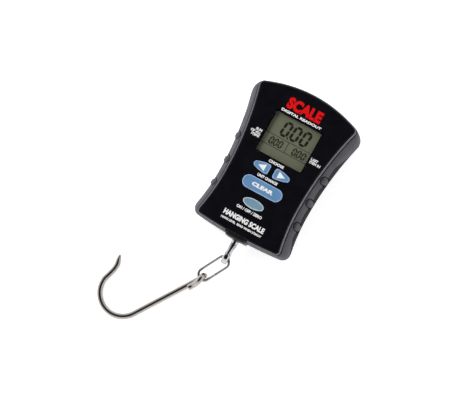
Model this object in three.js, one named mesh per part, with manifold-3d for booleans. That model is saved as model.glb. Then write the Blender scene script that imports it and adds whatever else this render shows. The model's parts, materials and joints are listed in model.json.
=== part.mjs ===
// Digital fish scale: a waisted hand-held case with a display and four keys, and an
// eye rod, a chain link and a hook at its lower end. Millimetres, +Z up. The case lies
// on its back on z = 0, its display end points to +Y, and the origin is at the middle
// of the back face.
import * as THREE from 'three';
import { mergeVertices } from 'three/addons/utils/BufferGeometryUtils.js';
import Module from 'manifold-3d';

const wasm = await Module();
wasm.setup();

// ---------------------------------------------------------------- driving dimensions

const GAP = 0.3;                 // clearance between neighbouring pieces

// case outline, seen from the front
const TOP_Y = 57.8;              // crown of the display end
const BOTTOM_Y = -55.8;          // middle of the hook end
const WAIST_Y = -19;             // narrowest station
const WAIST_HALF = 35.2;         // half width there, at the widest level
const FLARE_UP = 0.00207;        // half width gained per mm^2 above the waist
const FLARE_DOWN = 0.0034;       // and below it
const CROWN_RADIUS = 92;         // bow of the display end
const FOOT_RADIUS = 330;         // bow of the hook end
const CORNER_RADIUS = 7;

// case levels
const BACK_TOP_Z = 9;            // where the back cover ends and the grip frame starts
const TONGUE_TOP_Z = 12.1;
const SKIRT_Z = 12.4;            // lower edge of the front cover's skirt
const GROOVE_Z = 22.4;           // floor of the groove between the grip's wall and its lip
const FACE_Z = 25;
const CEILING_Z = 23;            // underside of the face plate
const FLOOR_Z = 2;               // inside of the back wall

// display, centred on x = 0
const DISPLAY_Y = 20.2;
const DISPLAY_W = 35.4;
const DISPLAY_H = 30.9;
const LCD_TOP_Z = 21.2;
const LCD_T = 1.8;

// circuit board and keypad
const BOARD_Z = 16.9;
const BOARD_T = 1.4;
const KEY_TOP_Z = 25.7;
const KEY_FOOT_Z = 21.6;
const KEY_STEP = 0.4;            // softened edge of the key tops

// load path along the Y axis
const AXIS_Z = 12.4;
const ROD_R = 2.6;
const THREAD_R = 1.95;
const CELL_BOTTOM_Y = -47;
const CELL_TOP_Y = -15;
const CELL_W = 26;
const CELL_T = 8.4;
const EYE_Y = -70.5;             // centre of the rod's eye
const EYE_HOLE_R = 2.6;
const EYE_R = 5.2;
const EYE_T = 4.4;

// chain link and hook
const LINK_WIRE_R = 1;
const LINK_BOW_R = 4.3;          // centre line of the link's round ends
const LINK_STRAIGHT = 16.5;
const LINK_YAW = 30.5;           // degrees from -Y towards -X
const LINK_PITCH = 14.6;         // degrees below the horizontal
const LINK_IN_ROD_EYE = 24;      // how far round its bow the link rests in each eye
const LINK_IN_HOOK_EYE = -5;
const HOOK_YAW = 33.2;           // degrees from -Y towards -X
const HOOK_WIRE_R = 2.1;
const HOOK_EYE_R = 4.1;          // centre line of the hook's eye
const HOOK_SHANK = 53.1;         // eye centre to the start of the bend
const HOOK_BEND_R = 16.7;
const HOOK_TAIL = 9.7;           // eye centre to the end of the wire
const HOOK_TAIL_ASIDE = 2.3;     // how far the tail lies beside the shank

// batteries, lying side by side in the upper half
const CELL_R = 5.25;
const CELL_L = 44.5;
const CELL_X = 5.7;
const BAY_LOW_Y = -3.6;
const BAY_HIGH_Y = 48;
const BAY_HALF = 11.7;
const BAY_CEILING_Z = 13.6;

// ---------------------------------------------------------------- colours

const look = (hex, roughness, metalness = 0) =>
  new THREE.MeshStandardMaterial({ color: hex, roughness, metalness });

const BLACK_GLOSS = look(0x121217, 0.22);
const GREY_GRIP = look(0x6c6c74, 0.7);
const GREY_BACK = look(0x3c3c42, 0.6);
const CHROME = look(0xc8c8cc, 0.12, 1);
const STEEL = look(0x9a9a9e, 0.35, 1);
const ALUMINIUM = look(0xb4b6ba, 0.4, 1);
const BRASS = look(0xb89a58, 0.35, 1);
const KEY_BLUE = look(0x6491c8, 0.45);
const KEY_TEAL = look(0x82a0af, 0.45);
const DARK_RUBBER = look(0x26262a, 0.8);
const BOARD_GREEN = look(0x1f5a38, 0.5);
const LCD_GREY = look(0x73765f, 0.3);
const CLEAR = look(0xdfe4e4, 0.05);
const BATTERY = look(0x8c4a2c, 0.35, 0.4);

// ---------------------------------------------------------------- solids

function toManifold(geometry) {
  const bare = geometry.clone();
  for (const name of Object.keys(bare.attributes)) {
    if (name !== 'position') bare.deleteAttribute(name);
  }
  const merged = mergeVertices(bare, 1e-4);
  return new wasm.Manifold(new wasm.Mesh({
    numProp: 3,
    vertProperties: Float32Array.from(merged.attributes.position.array),
    triVerts: Uint32Array.from(merged.index.array),
  }));
}

function toGeometry(solid) {
  const mesh = solid.getMesh();
  const geometry = new THREE.BufferGeometry();
  geometry.setAttribute('position', new THREE.BufferAttribute(mesh.vertProperties, 3));
  geometry.setIndex(new THREE.BufferAttribute(mesh.triVerts, 1));
  geometry.computeVertexNormals();
  return geometry;
}

function combine(base, added, removed) {
  let solid = toManifold(base);
  for (const geometry of added) solid = solid.add(toManifold(geometry));
  for (const geometry of removed) solid = solid.subtract(toManifold(geometry));
  return toGeometry(solid);
}

function common(a, b) {
  return toGeometry(toManifold(a).intersect(toManifold(b)));
}

// Box given by its limits on each axis.
function block([x0, x1], [y0, y1], [z0, z1]) {
  const geometry = new THREE.BoxGeometry(x1 - x0, y1 - y0, z1 - z0);
  return geometry.translate((x0 + x1) / 2, (y0 + y1) / 2, (z0 + z1) / 2);
}

// Solid or hollow cylinder along an axis, from one coordinate to another.
function post(axis, centre, from, to, radius, sides = 16, innerRadius = 0) {
  const profile = innerRadius > 0
    ? [[innerRadius, from], [radius, from], [radius, to], [innerRadius, to], [innerRadius, from]]
    : [[0, from], [radius, from], [radius, to], [0, to]];
  return turned(axis, centre, profile, sides);
}

// Solid of revolution: profile points are [radius, coordinate along the axis].
function turned(axis, centre, profile, sides = 16) {
  const points = profile.map(([r, h]) => new THREE.Vector2(r, h));
  const geometry = new THREE.LatheGeometry(points, sides);
  if (axis === 'z') geometry.rotateX(Math.PI / 2).translate(centre[0], centre[1], 0);
  if (axis === 'y') geometry.translate(centre[0], 0, centre[1]);
  if (axis === 'x') geometry.rotateZ(-Math.PI / 2).translate(0, centre[0], centre[1]);
  return geometry;
}

function prism(shape, z0, z1, curveSegments = 3) {
  const geometry = new THREE.ExtrudeGeometry(shape, {
    depth: z1 - z0,
    bevelEnabled: false,
    curveSegments,
  });
  return geometry.translate(0, 0, z0);
}

function roundedRect(halfW, halfH, radius, cx = 0, cy = 0) {
  const shape = new THREE.Shape();
  shape.absarc(cx + halfW - radius, cy + halfH - radius, radius, 0, Math.PI / 2);
  shape.absarc(cx - halfW + radius, cy + halfH - radius, radius, Math.PI / 2, Math.PI);
  shape.absarc(cx - halfW + radius, cy - halfH + radius, radius, Math.PI, 1.5 * Math.PI);
  shape.absarc(cx + halfW - radius, cy - halfH + radius, radius, 1.5 * Math.PI, 2 * Math.PI);
  return shape;
}

// Round bar along a list of points.
function bar(points, radius, sides, steps) {
  const section = new THREE.Shape();
  section.absarc(0, 0, radius, 0, 2 * Math.PI);
  const path = new THREE.CatmullRomCurve3(points, false, 'centripetal');
  return new THREE.ExtrudeGeometry(section, {
    steps,
    curveSegments: sides,
    extrudePath: path,
  });
}

// ---------------------------------------------------------------- case outline

// Signed distance past the case outline, less its insets at the sides and the ends.
function beyondOutline(x, y, sideInset, endInset) {
  const flare = y > WAIST_Y ? FLARE_UP : FLARE_DOWN;
  const side = Math.abs(x) - (WAIST_HALF + flare * (y - WAIST_Y) ** 2 - sideInset);
  const bow = y > 0 ? CROWN_RADIUS : FOOT_RADIUS;
  const edge = (y > 0 ? TOP_Y : -BOTTOM_Y) - (x * x) / (2 * bow) - endInset;
  const end = Math.abs(y) - edge;
  const radius = Math.max(CORNER_RADIUS - (sideInset + endInset) / 2, 2);
  const past = Math.hypot(Math.max(side + radius, 0), Math.max(end + radius, 0));
  return Math.min(Math.max(side + radius, end + radius), 0) + past - radius;
}

// Directions in which every outline is sampled, closer together at the corners.
const RAYS = (() => {
  const guideY = 54;
  const corner = 10;
  const sideSteps = 9;
  const endSteps = 6;
  const cornerSteps = 5;
  const rays = [];
  const add = (x, y) => rays.push(Math.atan2(y, x));
  const corners = [[1, 1], [-1, 1], [-1, -1], [1, -1]];
  corners.forEach(([sx, sy], quarter) => {
    const guideX = sy > 0 ? 43 : 39;
    const start = (quarter * Math.PI) / 2;
    for (let i = 0; i <= cornerSteps; i += 1) {
      const turn = start + (i / cornerSteps) * (Math.PI / 2);
      add(sx * (guideX - corner) + corner * Math.cos(turn),
        sy * (guideY - corner) + corner * Math.sin(turn));
    }
    const alongEnd = quarter % 2 === 0;
    const steps = alongEnd ? endSteps : sideSteps;
    for (let i = 1; i < steps; i += 1) {
      const t = 1 - (2 * i) / steps;
      if (alongEnd) add(sx * (guideX - corner) * t, sy * guideY);
      else add(sx * guideX, sy * (guideY - corner) * t);
    }
  });
  return rays;
})();

function outline(sideInset, endInset) {
  return RAYS.map((ray) => {
    let near = 0;
    let far = 90;
    for (let i = 0; i < 40; i += 1) {
      const mid = (near + far) / 2;
      const out = beyondOutline(mid * Math.cos(ray), mid * Math.sin(ray), sideInset, endInset);
      if (out > 0) far = mid;
      else near = mid;
    }
    return new THREE.Vector2(near * Math.cos(ray), near * Math.sin(ray));
  });
}

// Solid through outlines at several levels: each level is [z, side inset, end inset].
function loft(levels) {
  const positions = [];
  const index = [];
  const n = RAYS.length;
  const rings = levels.map(([, side, end]) => outline(side, end));
  levels.forEach(([z], k) => rings[k].forEach((p) => positions.push(p.x, p.y, z)));
  for (let k = 0; k + 1 < levels.length; k += 1) {
    for (let i = 0; i < n; i += 1) {
      const a = k * n + i;
      const b = k * n + ((i + 1) % n);
      index.push(a, b, b + n, a, b + n, a + n);
    }
  }
  const last = (levels.length - 1) * n;
  for (const [a, b, c] of THREE.ShapeUtils.triangulateShape(rings[0], [])) index.push(c, b, a);
  for (const [a, b, c] of THREE.ShapeUtils.triangulateShape(rings.at(-1), [])) {
    index.push(last + a, last + b, last + c);
  }
  const geometry = new THREE.BufferGeometry();
  geometry.setAttribute('position', new THREE.Float32BufferAttribute(positions, 3));
  geometry.setIndex(index);
  return geometry;
}

// The same levels moved in (or, if negative, out) by a distance.
const inset = (levels, by, endBy = by) =>
  levels.map(([z, side, end]) => [z, side + by, end + endBy]);

const BACK_FORM = [[0, 6, 4], [0.9, 3.8, 2.6], [2.6, 1.9, 1.3], [5.5, 0.4, 0.3],
  [BACK_TOP_Z, 0, 0]];
const GRIP_FORM = [[BACK_TOP_Z + GAP, 0, 0], [13.5, 0.8, 0.12], [17.6, 1.9, 0.3],
  [21, 3.7, 0.5], [GROOVE_Z + 0.6, 5.3, 0.65], [GROOVE_Z, 5.6, 0.8], [GROOVE_Z, 6, 0.85],
  [FACE_Z - 0.4, 6.2, 0.95], [FACE_Z, 6.5, 1.15]];
const SKIRT_FORM = [[SKIRT_Z, 3.2, 2], [20, 6.3, 2], [FACE_Z - 0.4, 7.3, 2]];
const WALL = 1.8;

// ---------------------------------------------------------------- scene graph

const scale = new THREE.Group();

function part(name, geometry, material, parent = scale) {
  const mesh = new THREE.Mesh(geometry, material);
  mesh.name = name;
  parent.add(mesh);
  return mesh;
}

// ---------------------------------------------------------------- fastening places

const CASE_SCREWS = [['upper_left', -28.5, 45], ['upper_right', 28.5, 45],
  ['lower_left', -24, -46], ['lower_right', 24, -46]];
const BOSS_FOOT_Z = 4.8;
const BRACKET_SCREWS = [['left', -6.5, -9.8], ['right', 6.5, -9.8]];
const BOARD_SCREWS = [['upper', -21.5, 39.6], ['lower', 21.5, -33.4]];
const BOARD_POSTS = [...BOARD_SCREWS, ['idle_upper', 21.5, 39.6], ['idle_lower', -21.5, -33.4]];
const COLLAR_HALF_W = 8.35;
const COLLAR_LOW_Z = 7.4;
const COLLAR_HIGH_Z = 22.4;      // where it passes through the skirt
const COLLAR_HEAD_Z = 24.2;      // outside the case
const neckOpening = (topZ = COLLAR_HIGH_Z + GAP) => block(
  [-COLLAR_HALF_W - GAP, COLLAR_HALF_W + GAP],
  [-62, -50],
  [COLLAR_LOW_Z - GAP, topZ],
);

// ---------------------------------------------------------------- back cover and door

const DOOR_T = 1.7;
const DOOR_HALF = 12;
const TONGUE_OUT = 1.6;
const DOOR_LOW_Y = -6;
const LIP_T = 0.6;
const DOOR_RIDGES = 5;

function backCover() {
  const hollow = inset(BACK_FORM, WALL).slice(2);
  hollow[0][0] = FLOOR_Z;
  const tongue = loft([[BACK_TOP_Z - 1, 3.2, 2], [TONGUE_TOP_Z, 3.2, 2]]);
  const hollowTop = [[BACK_TOP_Z, 3.2 + WALL, 2 + WALL], [TONGUE_TOP_Z + 1, 3.2 + WALL, 2 + WALL]];
  const bayWall = 1.4;
  const added = [tongue];
  const pads = [];
  const removed = [];
  const inside = loft([...hollow.slice(0, -1), ...hollowTop]);
  // battery bay with a thicker rim, inside the outer form
  pads.push(block([-BAY_HALF - 3.6, BAY_HALF + 3.6], [DOOR_LOW_Y - 2, 58], [0, 3.2]));
  const bay = block([-BAY_HALF - bayWall, BAY_HALF + bayWall],
    [BAY_LOW_Y - bayWall, BAY_HIGH_Y + bayWall], [1, BAY_CEILING_Z + bayWall]);
  for (const [, x, y] of CASE_SCREWS) {
    pads.push(post('z', [x, y], 0, BOSS_FOOT_Z - GAP, 4.6));
    removed.push(post('z', [x, y], -1, 3.3, 3.1));
    removed.push(post('z', [x, y], 3, 9, 1.7));
  }
  for (const [, x, y] of BRACKET_SCREWS) {
    pads.push(post('z', [x, y], 0, 4.9, 3));
    removed.push(post('z', [x, y], 2.4, 9, 1.6));
  }
  const form = loft(BACK_FORM);
  const shell = combine(form, added, [inside]);
  const fittings = pads.map((pad) => common(pad, form));
  // openings for the door, its tongues and the batteries
  removed.push(block([-DOOR_HALF - GAP, DOOR_HALF + GAP], [DOOR_LOW_Y - GAP, 62],
    [-1, DOOR_T + GAP]));
  removed.push(block([-DOOR_HALF - TONGUE_OUT - GAP, DOOR_HALF + TONGUE_OUT + GAP],
    [DOOR_LOW_Y - GAP, 62], [LIP_T, DOOR_T + GAP]));
  removed.push(block([-BAY_HALF, BAY_HALF], [BAY_LOW_Y, BAY_HIGH_Y], [0, BAY_CEILING_Z]));
  removed.push(neckOpening());
  return combine(shell, [...fittings, bay], removed);
}

function batteryDoor() {
  const plate = block([-DOOR_HALF, DOOR_HALF], [DOOR_LOW_Y, 60], [0, DOOR_T]);
  const tongues = block([-DOOR_HALF - TONGUE_OUT, DOOR_HALF + TONGUE_OUT],
    [DOOR_LOW_Y, 60], [LIP_T + GAP, DOOR_T]);
  const ridges = [];
  for (let i = 0; i < DOOR_RIDGES; i += 1) {
    const y = 34 + i * 2.2;
    ridges.push(block([-7, 7], [y, y + 1], [-1, 0.5]));
  }
  const sheet = combine(plate, [tongues], ridges);
  return common(sheet, loft(BACK_FORM));
}

part('back_cover', backCover(), GREY_BACK);
part('battery_door', batteryDoor(), GREY_BACK);

// ---------------------------------------------------------------- grip frame

const RIB_PITCH = 18.4;
const RIB_MID_Y = -10.4;
const RIB_W = 5;
const RIB_OUT = 0.9;

function gripFrame() {
  const inner = inset([[BACK_TOP_Z, 3.2, 2], ...SKIRT_FORM], -GAP);
  inner.push([FACE_Z + 1, 7.3 - GAP, 2 - GAP]);
  const swollen = loft(inset(GRIP_FORM, -RIB_OUT, 0));
  const ribs = [];
  for (const side of [-1, 1]) {
    for (const k of [-1, 0, 1]) {
      const stadium = roundedRect(5.6, RIB_W / 2, RIB_W / 2 - 0.01, 16, 0);
      const rib = prism(stadium, 0, 14).rotateY(-Math.PI / 2);
      rib.translate(side > 0 ? 43 : -29, RIB_MID_Y + k * RIB_PITCH, 0);
      ribs.push(common(rib, swollen));
    }
  }
  return combine(loft(GRIP_FORM), ribs, [loft(inner), neckOpening(FACE_Z + 1)]);
}

part('grip_frame', gripFrame(), GREY_GRIP);

// ---------------------------------------------------------------- keys

const ARROW = { inner: 1.8, outer: 13.6, y: -4.1, innerHalf: 3.75, outerHalf: 2 };
const PILL = { halfW: 15.25, halfH: 4.7, y: -17.4 };
const OVAL = { halfW: 7.95, halfH: 3.45, y: -30, sides: 28 };

// Tapered key that narrows away from the centre line; side is -1 or +1.
function arrowShape(side, grow) {
  const inner = side * (ARROW.inner - grow);
  const outer = side * (ARROW.outer + grow);
  const high = ARROW.innerHalf + grow;
  const low = ARROW.outerHalf + grow;
  const shape = new THREE.Shape();
  shape.moveTo(inner, ARROW.y - high);
  shape.quadraticCurveTo((inner + outer) / 2, ARROW.y - high, outer, ARROW.y - low);
  shape.quadraticCurveTo(outer + side * 0.9, ARROW.y, outer, ARROW.y + low);
  shape.quadraticCurveTo((inner + outer) / 2, ARROW.y + high, inner, ARROW.y + high);
  return shape;
}

function pillShape(grow) {
  const halfH = PILL.halfH + grow;
  return roundedRect(PILL.halfW + grow, halfH, halfH - 0.01, 0, PILL.y);
}

function ovalShape(grow) {
  const points = [];
  for (let i = 0; i < OVAL.sides; i += 1) {
    const turn = (i / OVAL.sides) * 2 * Math.PI;
    points.push(new THREE.Vector2((OVAL.halfW + grow) * Math.cos(turn),
      OVAL.y + (OVAL.halfH + grow) * Math.sin(turn)));
  }
  return new THREE.Shape(points);
}

const KEYS = [
  { name: 'key_previous', shape: (grow) => arrowShape(-1, grow), x: -7, y: ARROW.y },
  { name: 'key_next', shape: (grow) => arrowShape(1, grow), x: 7, y: ARROW.y },
  { name: 'key_clear', shape: pillShape, x: 0, y: PILL.y },
  { name: 'key_power', shape: ovalShape, x: 0, y: OVAL.y },
];

for (const { name, shape } of KEYS) {
  const cap = prism(shape(-KEY_STEP), KEY_FOOT_Z, KEY_TOP_Z, 4);
  const body = prism(shape(0), KEY_FOOT_Z, KEY_TOP_Z - KEY_STEP, 4);
  const flange = prism(shape(0.9), KEY_FOOT_Z, KEY_FOOT_Z + 1, 4);
  part(name, combine(cap, [body, flange], []), name === 'key_power' ? KEY_TEAL : KEY_BLUE);
}

const MEMBRANE_Z = BOARD_Z + BOARD_T + GAP;
const MEMBRANE_T = 0.8;

function keypadMembrane() {
  const sheet = prism(roundedRect(18.5, 17.5, 3, 0, -17.6), MEMBRANE_Z, MEMBRANE_Z + MEMBRANE_T);
  const domes = KEYS.map(({ x, y }) => turned('z', [x, y],
    [[0, MEMBRANE_Z + 0.2], [2.6, MEMBRANE_Z + 0.2], [1.7, MEMBRANE_Z + 1.8], [0, MEMBRANE_Z + 1.8]],
    16));
  return combine(sheet, domes, []);
}

part('keypad_membrane', keypadMembrane(), DARK_RUBBER);

// ---------------------------------------------------------------- front cover

const WINDOW_T = 1.1;
const WINDOW_REST_Z = 23.5;

function frontCover() {
  const outer = loft([...SKIRT_FORM, [FACE_Z, 7.5, 2.2]]);
  const inside = inset(SKIRT_FORM, WALL);
  inside[0][0] = SKIRT_Z - 1;
  inside[2][0] = CEILING_Z;
  const shell = combine(outer, [], [loft(inside)]);
  const added = [];
  const removed = [];
  for (const [, x, y] of CASE_SCREWS) {
    added.push(post('z', [x, y], BOSS_FOOT_Z, CEILING_Z + 0.5, 3));
    removed.push(post('z', [x, y], BOSS_FOOT_Z - 1, 16, 1.6));
  }
  const postFoot = BOARD_Z + BOARD_T + GAP;
  for (const [, x, y] of BOARD_POSTS) {
    added.push(post('z', [x, y], postFoot, CEILING_Z + 0.5, 2));
    removed.push(post('z', [x, y], postFoot - 1, 22, 0.95, 12));
  }
  const halfW = DISPLAY_W / 2;
  const halfH = DISPLAY_H / 2;
  removed.push(prism(roundedRect(halfW, halfH, 1, 0, DISPLAY_Y), 20, 26));
  removed.push(prism(roundedRect(halfW + 1.1, halfH + 1.1, 1.6, 0, DISPLAY_Y), WINDOW_REST_Z, 26));
  for (const { shape } of KEYS) removed.push(prism(shape(GAP), 20, 26, 4));
  removed.push(neckOpening());
  return combine(shell, added, removed);
}

part('front_cover', frontCover(), BLACK_GLOSS);

const windowSheet = roundedRect(DISPLAY_W / 2 + 0.8, DISPLAY_H / 2 + 0.8, 1.3, 0, DISPLAY_Y);
part('display_window', prism(windowSheet, WINDOW_REST_Z + GAP, WINDOW_REST_Z + GAP + WINDOW_T),
  CLEAR);

// ---------------------------------------------------------------- display and board

const LCD_HALF_W = 19.6;
const LCD_HALF_H = 17.3;

function lcdPanel() {
  // the lower glass is longer than the upper one and carries the contact strip
  const lower = block([-LCD_HALF_W, LCD_HALF_W], [DISPLAY_Y - LCD_HALF_H, DISPLAY_Y + LCD_HALF_H],
    [LCD_TOP_Z - LCD_T, LCD_TOP_Z - LCD_T / 2]);
  const upper = block([-LCD_HALF_W, LCD_HALF_W],
    [DISPLAY_Y - LCD_HALF_H + 1.6, DISPLAY_Y + LCD_HALF_H], [LCD_TOP_Z - LCD_T, LCD_TOP_Z]);
  return combine(lower, [upper], []);
}

part('lcd_panel', lcdPanel(), LCD_GREY);

const stripY = DISPLAY_Y - LCD_HALF_H;
part('lcd_connector', block([-17, 17], [stripY + 0.4, stripY + 2.2],
  [BOARD_Z + BOARD_T + 0.2, LCD_TOP_Z - LCD_T - 0.2]), DARK_RUBBER);

function circuitBoard() {
  const sheet = prism(roundedRect(24, 39, 2, 0, 3), BOARD_Z, BOARD_Z + BOARD_T);
  const holes = BOARD_POSTS.map(([, x, y]) => post('z', [x, y], 15, 20, 1.3));
  const chip = block([-5, 5], [16, 24], [BOARD_Z - 0.9, BOARD_Z + 0.1]);
  return combine(sheet, [chip], holes);
}

part('circuit_board', circuitBoard(), BOARD_GREEN);

// Screw along +Z: its head below, its shank pointing up.
function screwUp(x, y, headZ, headR, headT, shankR, tipZ) {
  const body = turned('z', [x, y], [[0, headZ], [headR, headZ], [headR, headZ + headT],
    [shankR, headZ + headT], [shankR, tipZ - shankR], [0, tipZ]], 16);
  const slotA = block([x - headR * 0.6, x + headR * 0.6], [y - 0.3, y + 0.3],
    [headZ - 1, headZ + headT * 0.5]);
  const slotB = block([x - 0.3, x + 0.3], [y - headR * 0.6, y + headR * 0.6],
    [headZ - 1, headZ + headT * 0.5]);
  return combine(body, [], [slotA, slotB]);
}

for (const [place, x, y] of BOARD_SCREWS) {
  part(`board_screw_${place}`, screwUp(x, y, 15.2, 1.9, 1.4, 0.75, 21.4), STEEL);
}
for (const [place, x, y] of CASE_SCREWS) {
  part(`case_screw_${place}`, screwUp(x, y, 0.9, 2.7, 2.1, 1.3, 14.5), STEEL);
}

// ---------------------------------------------------------------- load cell

const SLOT_LOW = [-40.3, -33.6];
const SLOT_HIGH = [-24.6, -21];

function loadCell() {
  const half = CELL_W / 2;
  const low = AXIS_Z - CELL_T / 2;
  const high = AXIS_Z + CELL_T / 2;
  const cuts = [
    block([-half + 4, half + 1], SLOT_LOW, [0, 25]),
    block([-half - 1, half - 4], SLOT_HIGH, [0, 25]),
    post('z', [0, -29.1], 0, 25, 2.8),
    post('y', [0, AXIS_Z], CELL_BOTTOM_Y - 1, SLOT_LOW[0] + 1, ROD_R + 0.1, 24),
    post('y', [0, AXIS_Z], SLOT_HIGH[1] - 1, CELL_TOP_Y + 1, 2.3),
  ];
  return combine(block([-half, half], [CELL_BOTTOM_Y, CELL_TOP_Y], [low, high]), [], cuts);
}

part('load_cell', loadCell(), ALUMINIUM);

function anchorBracket() {
  const upright = block([-10, 10], [CELL_TOP_Y + GAP, CELL_TOP_Y + GAP + 1.8], [5.2, 16.4]);
  const foot = block([-10, 10], [CELL_TOP_Y + GAP, -5.8], [5.2, 6.8]);
  const cuts = BRACKET_SCREWS.map(([, x, y]) => post('z', [x, y], 4, 8, 1.6));
  cuts.push(post('y', [0, AXIS_Z], CELL_TOP_Y - 1, CELL_TOP_Y + 4, 2.3));
  return combine(upright, [foot], cuts);
}

part('anchor_bracket', anchorBracket(), STEEL);

const boltFace = CELL_TOP_Y + 2 * GAP + 1.8;
part('anchor_bolt', combine(
  post('y', [0, AXIS_Z], boltFace, boltFace + 2.6, 3.9, 6),
  [post('y', [0, AXIS_Z], SLOT_HIGH[1] + 0.4, boltFace + 1, 2, 20)], [],
), STEEL);

for (const [place, x, y] of BRACKET_SCREWS) {
  const screw = turned('z', [x, y], [[0, 2.8], [1.2, 4], [1.2, 7.1], [2.5, 7.1], [2.5, 8.2],
    [1.6, 8.7], [0, 8.7]], 16);
  part(`bracket_screw_${place}`, screw, STEEL);
}

const wirePath = [[13.3, -29, 12.4], [15, -29, 12.8], [16.4, -27.4, 14.4], [16.8, -26, 16.6]];
part('load_cell_wires', bar(wirePath.map((p) => new THREE.Vector3(...p)), 0.8, 4, 10), DARK_RUBBER);

// ---------------------------------------------------------------- neck and eye rod

const COLLAR_END_Y = -57.3;

// Rounded plate across the Y axis.
function yPlate(halfW, [lowZ, highZ], radius, yLow, yHigh) {
  const plate = prism(roundedRect(halfW, (highZ - lowZ) / 2, radius), 0, yHigh - yLow);
  return plate.rotateX(Math.PI / 2).translate(0, yHigh, (lowZ + highZ) / 2);
}

function neckCollar() {
  const nose = yPlate(COLLAR_HALF_W - 0.8, [COLLAR_LOW_Z + 0.8, COLLAR_HEAD_Z - 0.8], 3,
    COLLAR_END_Y, -55);
  const head = yPlate(COLLAR_HALF_W, [COLLAR_LOW_Z, COLLAR_HEAD_Z], 2.6,
    COLLAR_END_Y + 0.8, BOTTOM_Y + 1.7);
  const body = yPlate(COLLAR_HALF_W, [COLLAR_LOW_Z, COLLAR_HIGH_Z], 1.5, -55, -50.5);
  const flange = yPlate(COLLAR_HALF_W + 1.4, [COLLAR_LOW_Z - 1.4, COLLAR_HIGH_Z], 2, -50.8, -49.5);
  const bore = post('y', [0, AXIS_Z], -60, -48, ROD_R + 0.35, 24);
  return combine(body, [nose, head, flange], [bore]);
}

part('neck_collar', neckCollar(), DARK_RUBBER);

const EYE_SHOULDER_Y = -60.8;     // where the rod starts to swell into its eye
const ROD_SHOULDER_Y = -40;
const ROD_END_Y = -34.8;

function hookRod() {
  const shaft = turned('y', [0, AXIS_Z], [[0, EYE_Y + EYE_R - 1.2], [2, EYE_Y + EYE_R - 1.2],
    [ROD_R, EYE_Y + EYE_R + 1.2], [ROD_R, ROD_SHOULDER_Y], [THREAD_R, ROD_SHOULDER_Y],
    [THREAD_R, ROD_END_Y - 0.5], [THREAD_R - 0.5, ROD_END_Y], [0, ROD_END_Y]], 24);
  const half = EYE_T / 2;
  const soft = 0.6;
  const eye = turned('x', [EYE_Y, AXIS_Z], [[EYE_HOLE_R, -half + soft], [EYE_HOLE_R + soft, -half],
    [EYE_R - soft, -half], [EYE_R, -half + soft], [EYE_R, half - soft], [EYE_R - soft, half],
    [EYE_HOLE_R + soft, half], [EYE_HOLE_R, half - soft], [EYE_HOLE_R, -half + soft]], 20);
  const shoulder = common(
    turned('y', [0, AXIS_Z], [[0, EYE_Y + 3.4], [4.3, EYE_Y + 3.4], [ROD_R - 0.1, EYE_SHOULDER_Y],
      [0, EYE_SHOULDER_Y]], 24),
    block([-half, half], [EYE_Y, EYE_SHOULDER_Y + 1], [0, 25]),
  );
  return combine(eye, [shaft, shoulder], []);
}

part('hook_rod', hookRod(), CHROME);
part('rod_washer', post('y', [0, AXIS_Z], -39.8, -39, 3.7, 20, THREAD_R + 0.3), STEEL);
part('rod_nut', combine(post('y', [0, AXIS_Z], -38.8, -35.4, 4, 6), [],
  [post('y', [0, AXIS_Z], -39.5, -34, THREAD_R + 0.3, 20)]), BRASS);

// ---------------------------------------------------------------- chain link

const DEG = Math.PI / 180;
const heading = (yaw, pitch) => new THREE.Vector3(
  -Math.sin(yaw * DEG) * Math.cos(pitch * DEG),
  -Math.cos(yaw * DEG) * Math.cos(pitch * DEG),
  -Math.sin(pitch * DEG),
);
const across = (yaw) => new THREE.Vector3(Math.cos(yaw * DEG), -Math.sin(yaw * DEG), 0);

const rodEye = new THREE.Vector3(0, EYE_Y, AXIS_Z);
const linkDir = heading(LINK_YAW, LINK_PITCH);
const linkAcross = across(LINK_YAW);

// From an eye centre to the centre of the link's bow that passes through it.
const bowOffset = (turn, sign) => linkDir.clone().multiplyScalar(LINK_BOW_R * Math.cos(turn * DEG))
  .addScaledVector(linkAcross, sign * LINK_BOW_R * Math.sin(turn * DEG));
const nearBow = rodEye.clone().add(bowOffset(LINK_IN_ROD_EYE, 1));
const farBow = nearBow.clone().addScaledVector(linkDir, LINK_STRAIGHT);
const hookEye = farBow.clone().add(bowOffset(LINK_IN_HOOK_EYE, -1));

function chainLink() {
  const ring = mergeVertices(new THREE.TorusGeometry(LINK_BOW_R, LINK_WIRE_R, 8, 24));
  const spots = ring.attributes.position;
  for (let i = 0; i < spots.count; i += 1) {
    const y = spots.getY(i);
    spots.setY(i, y + (y > 1e-3 ? 0.5 : -0.5) * LINK_STRAIGHT);
  }
  return ring;
}

const link = part('link', chainLink(), CHROME);
const linkUp = new THREE.Vector3().crossVectors(linkAcross, linkDir);
link.quaternion.setFromRotationMatrix(
  new THREE.Matrix4().makeBasis(linkAcross, linkDir, linkUp));
link.position.copy(nearBow).add(farBow).multiplyScalar(0.5);

// ---------------------------------------------------------------- hook

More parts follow.
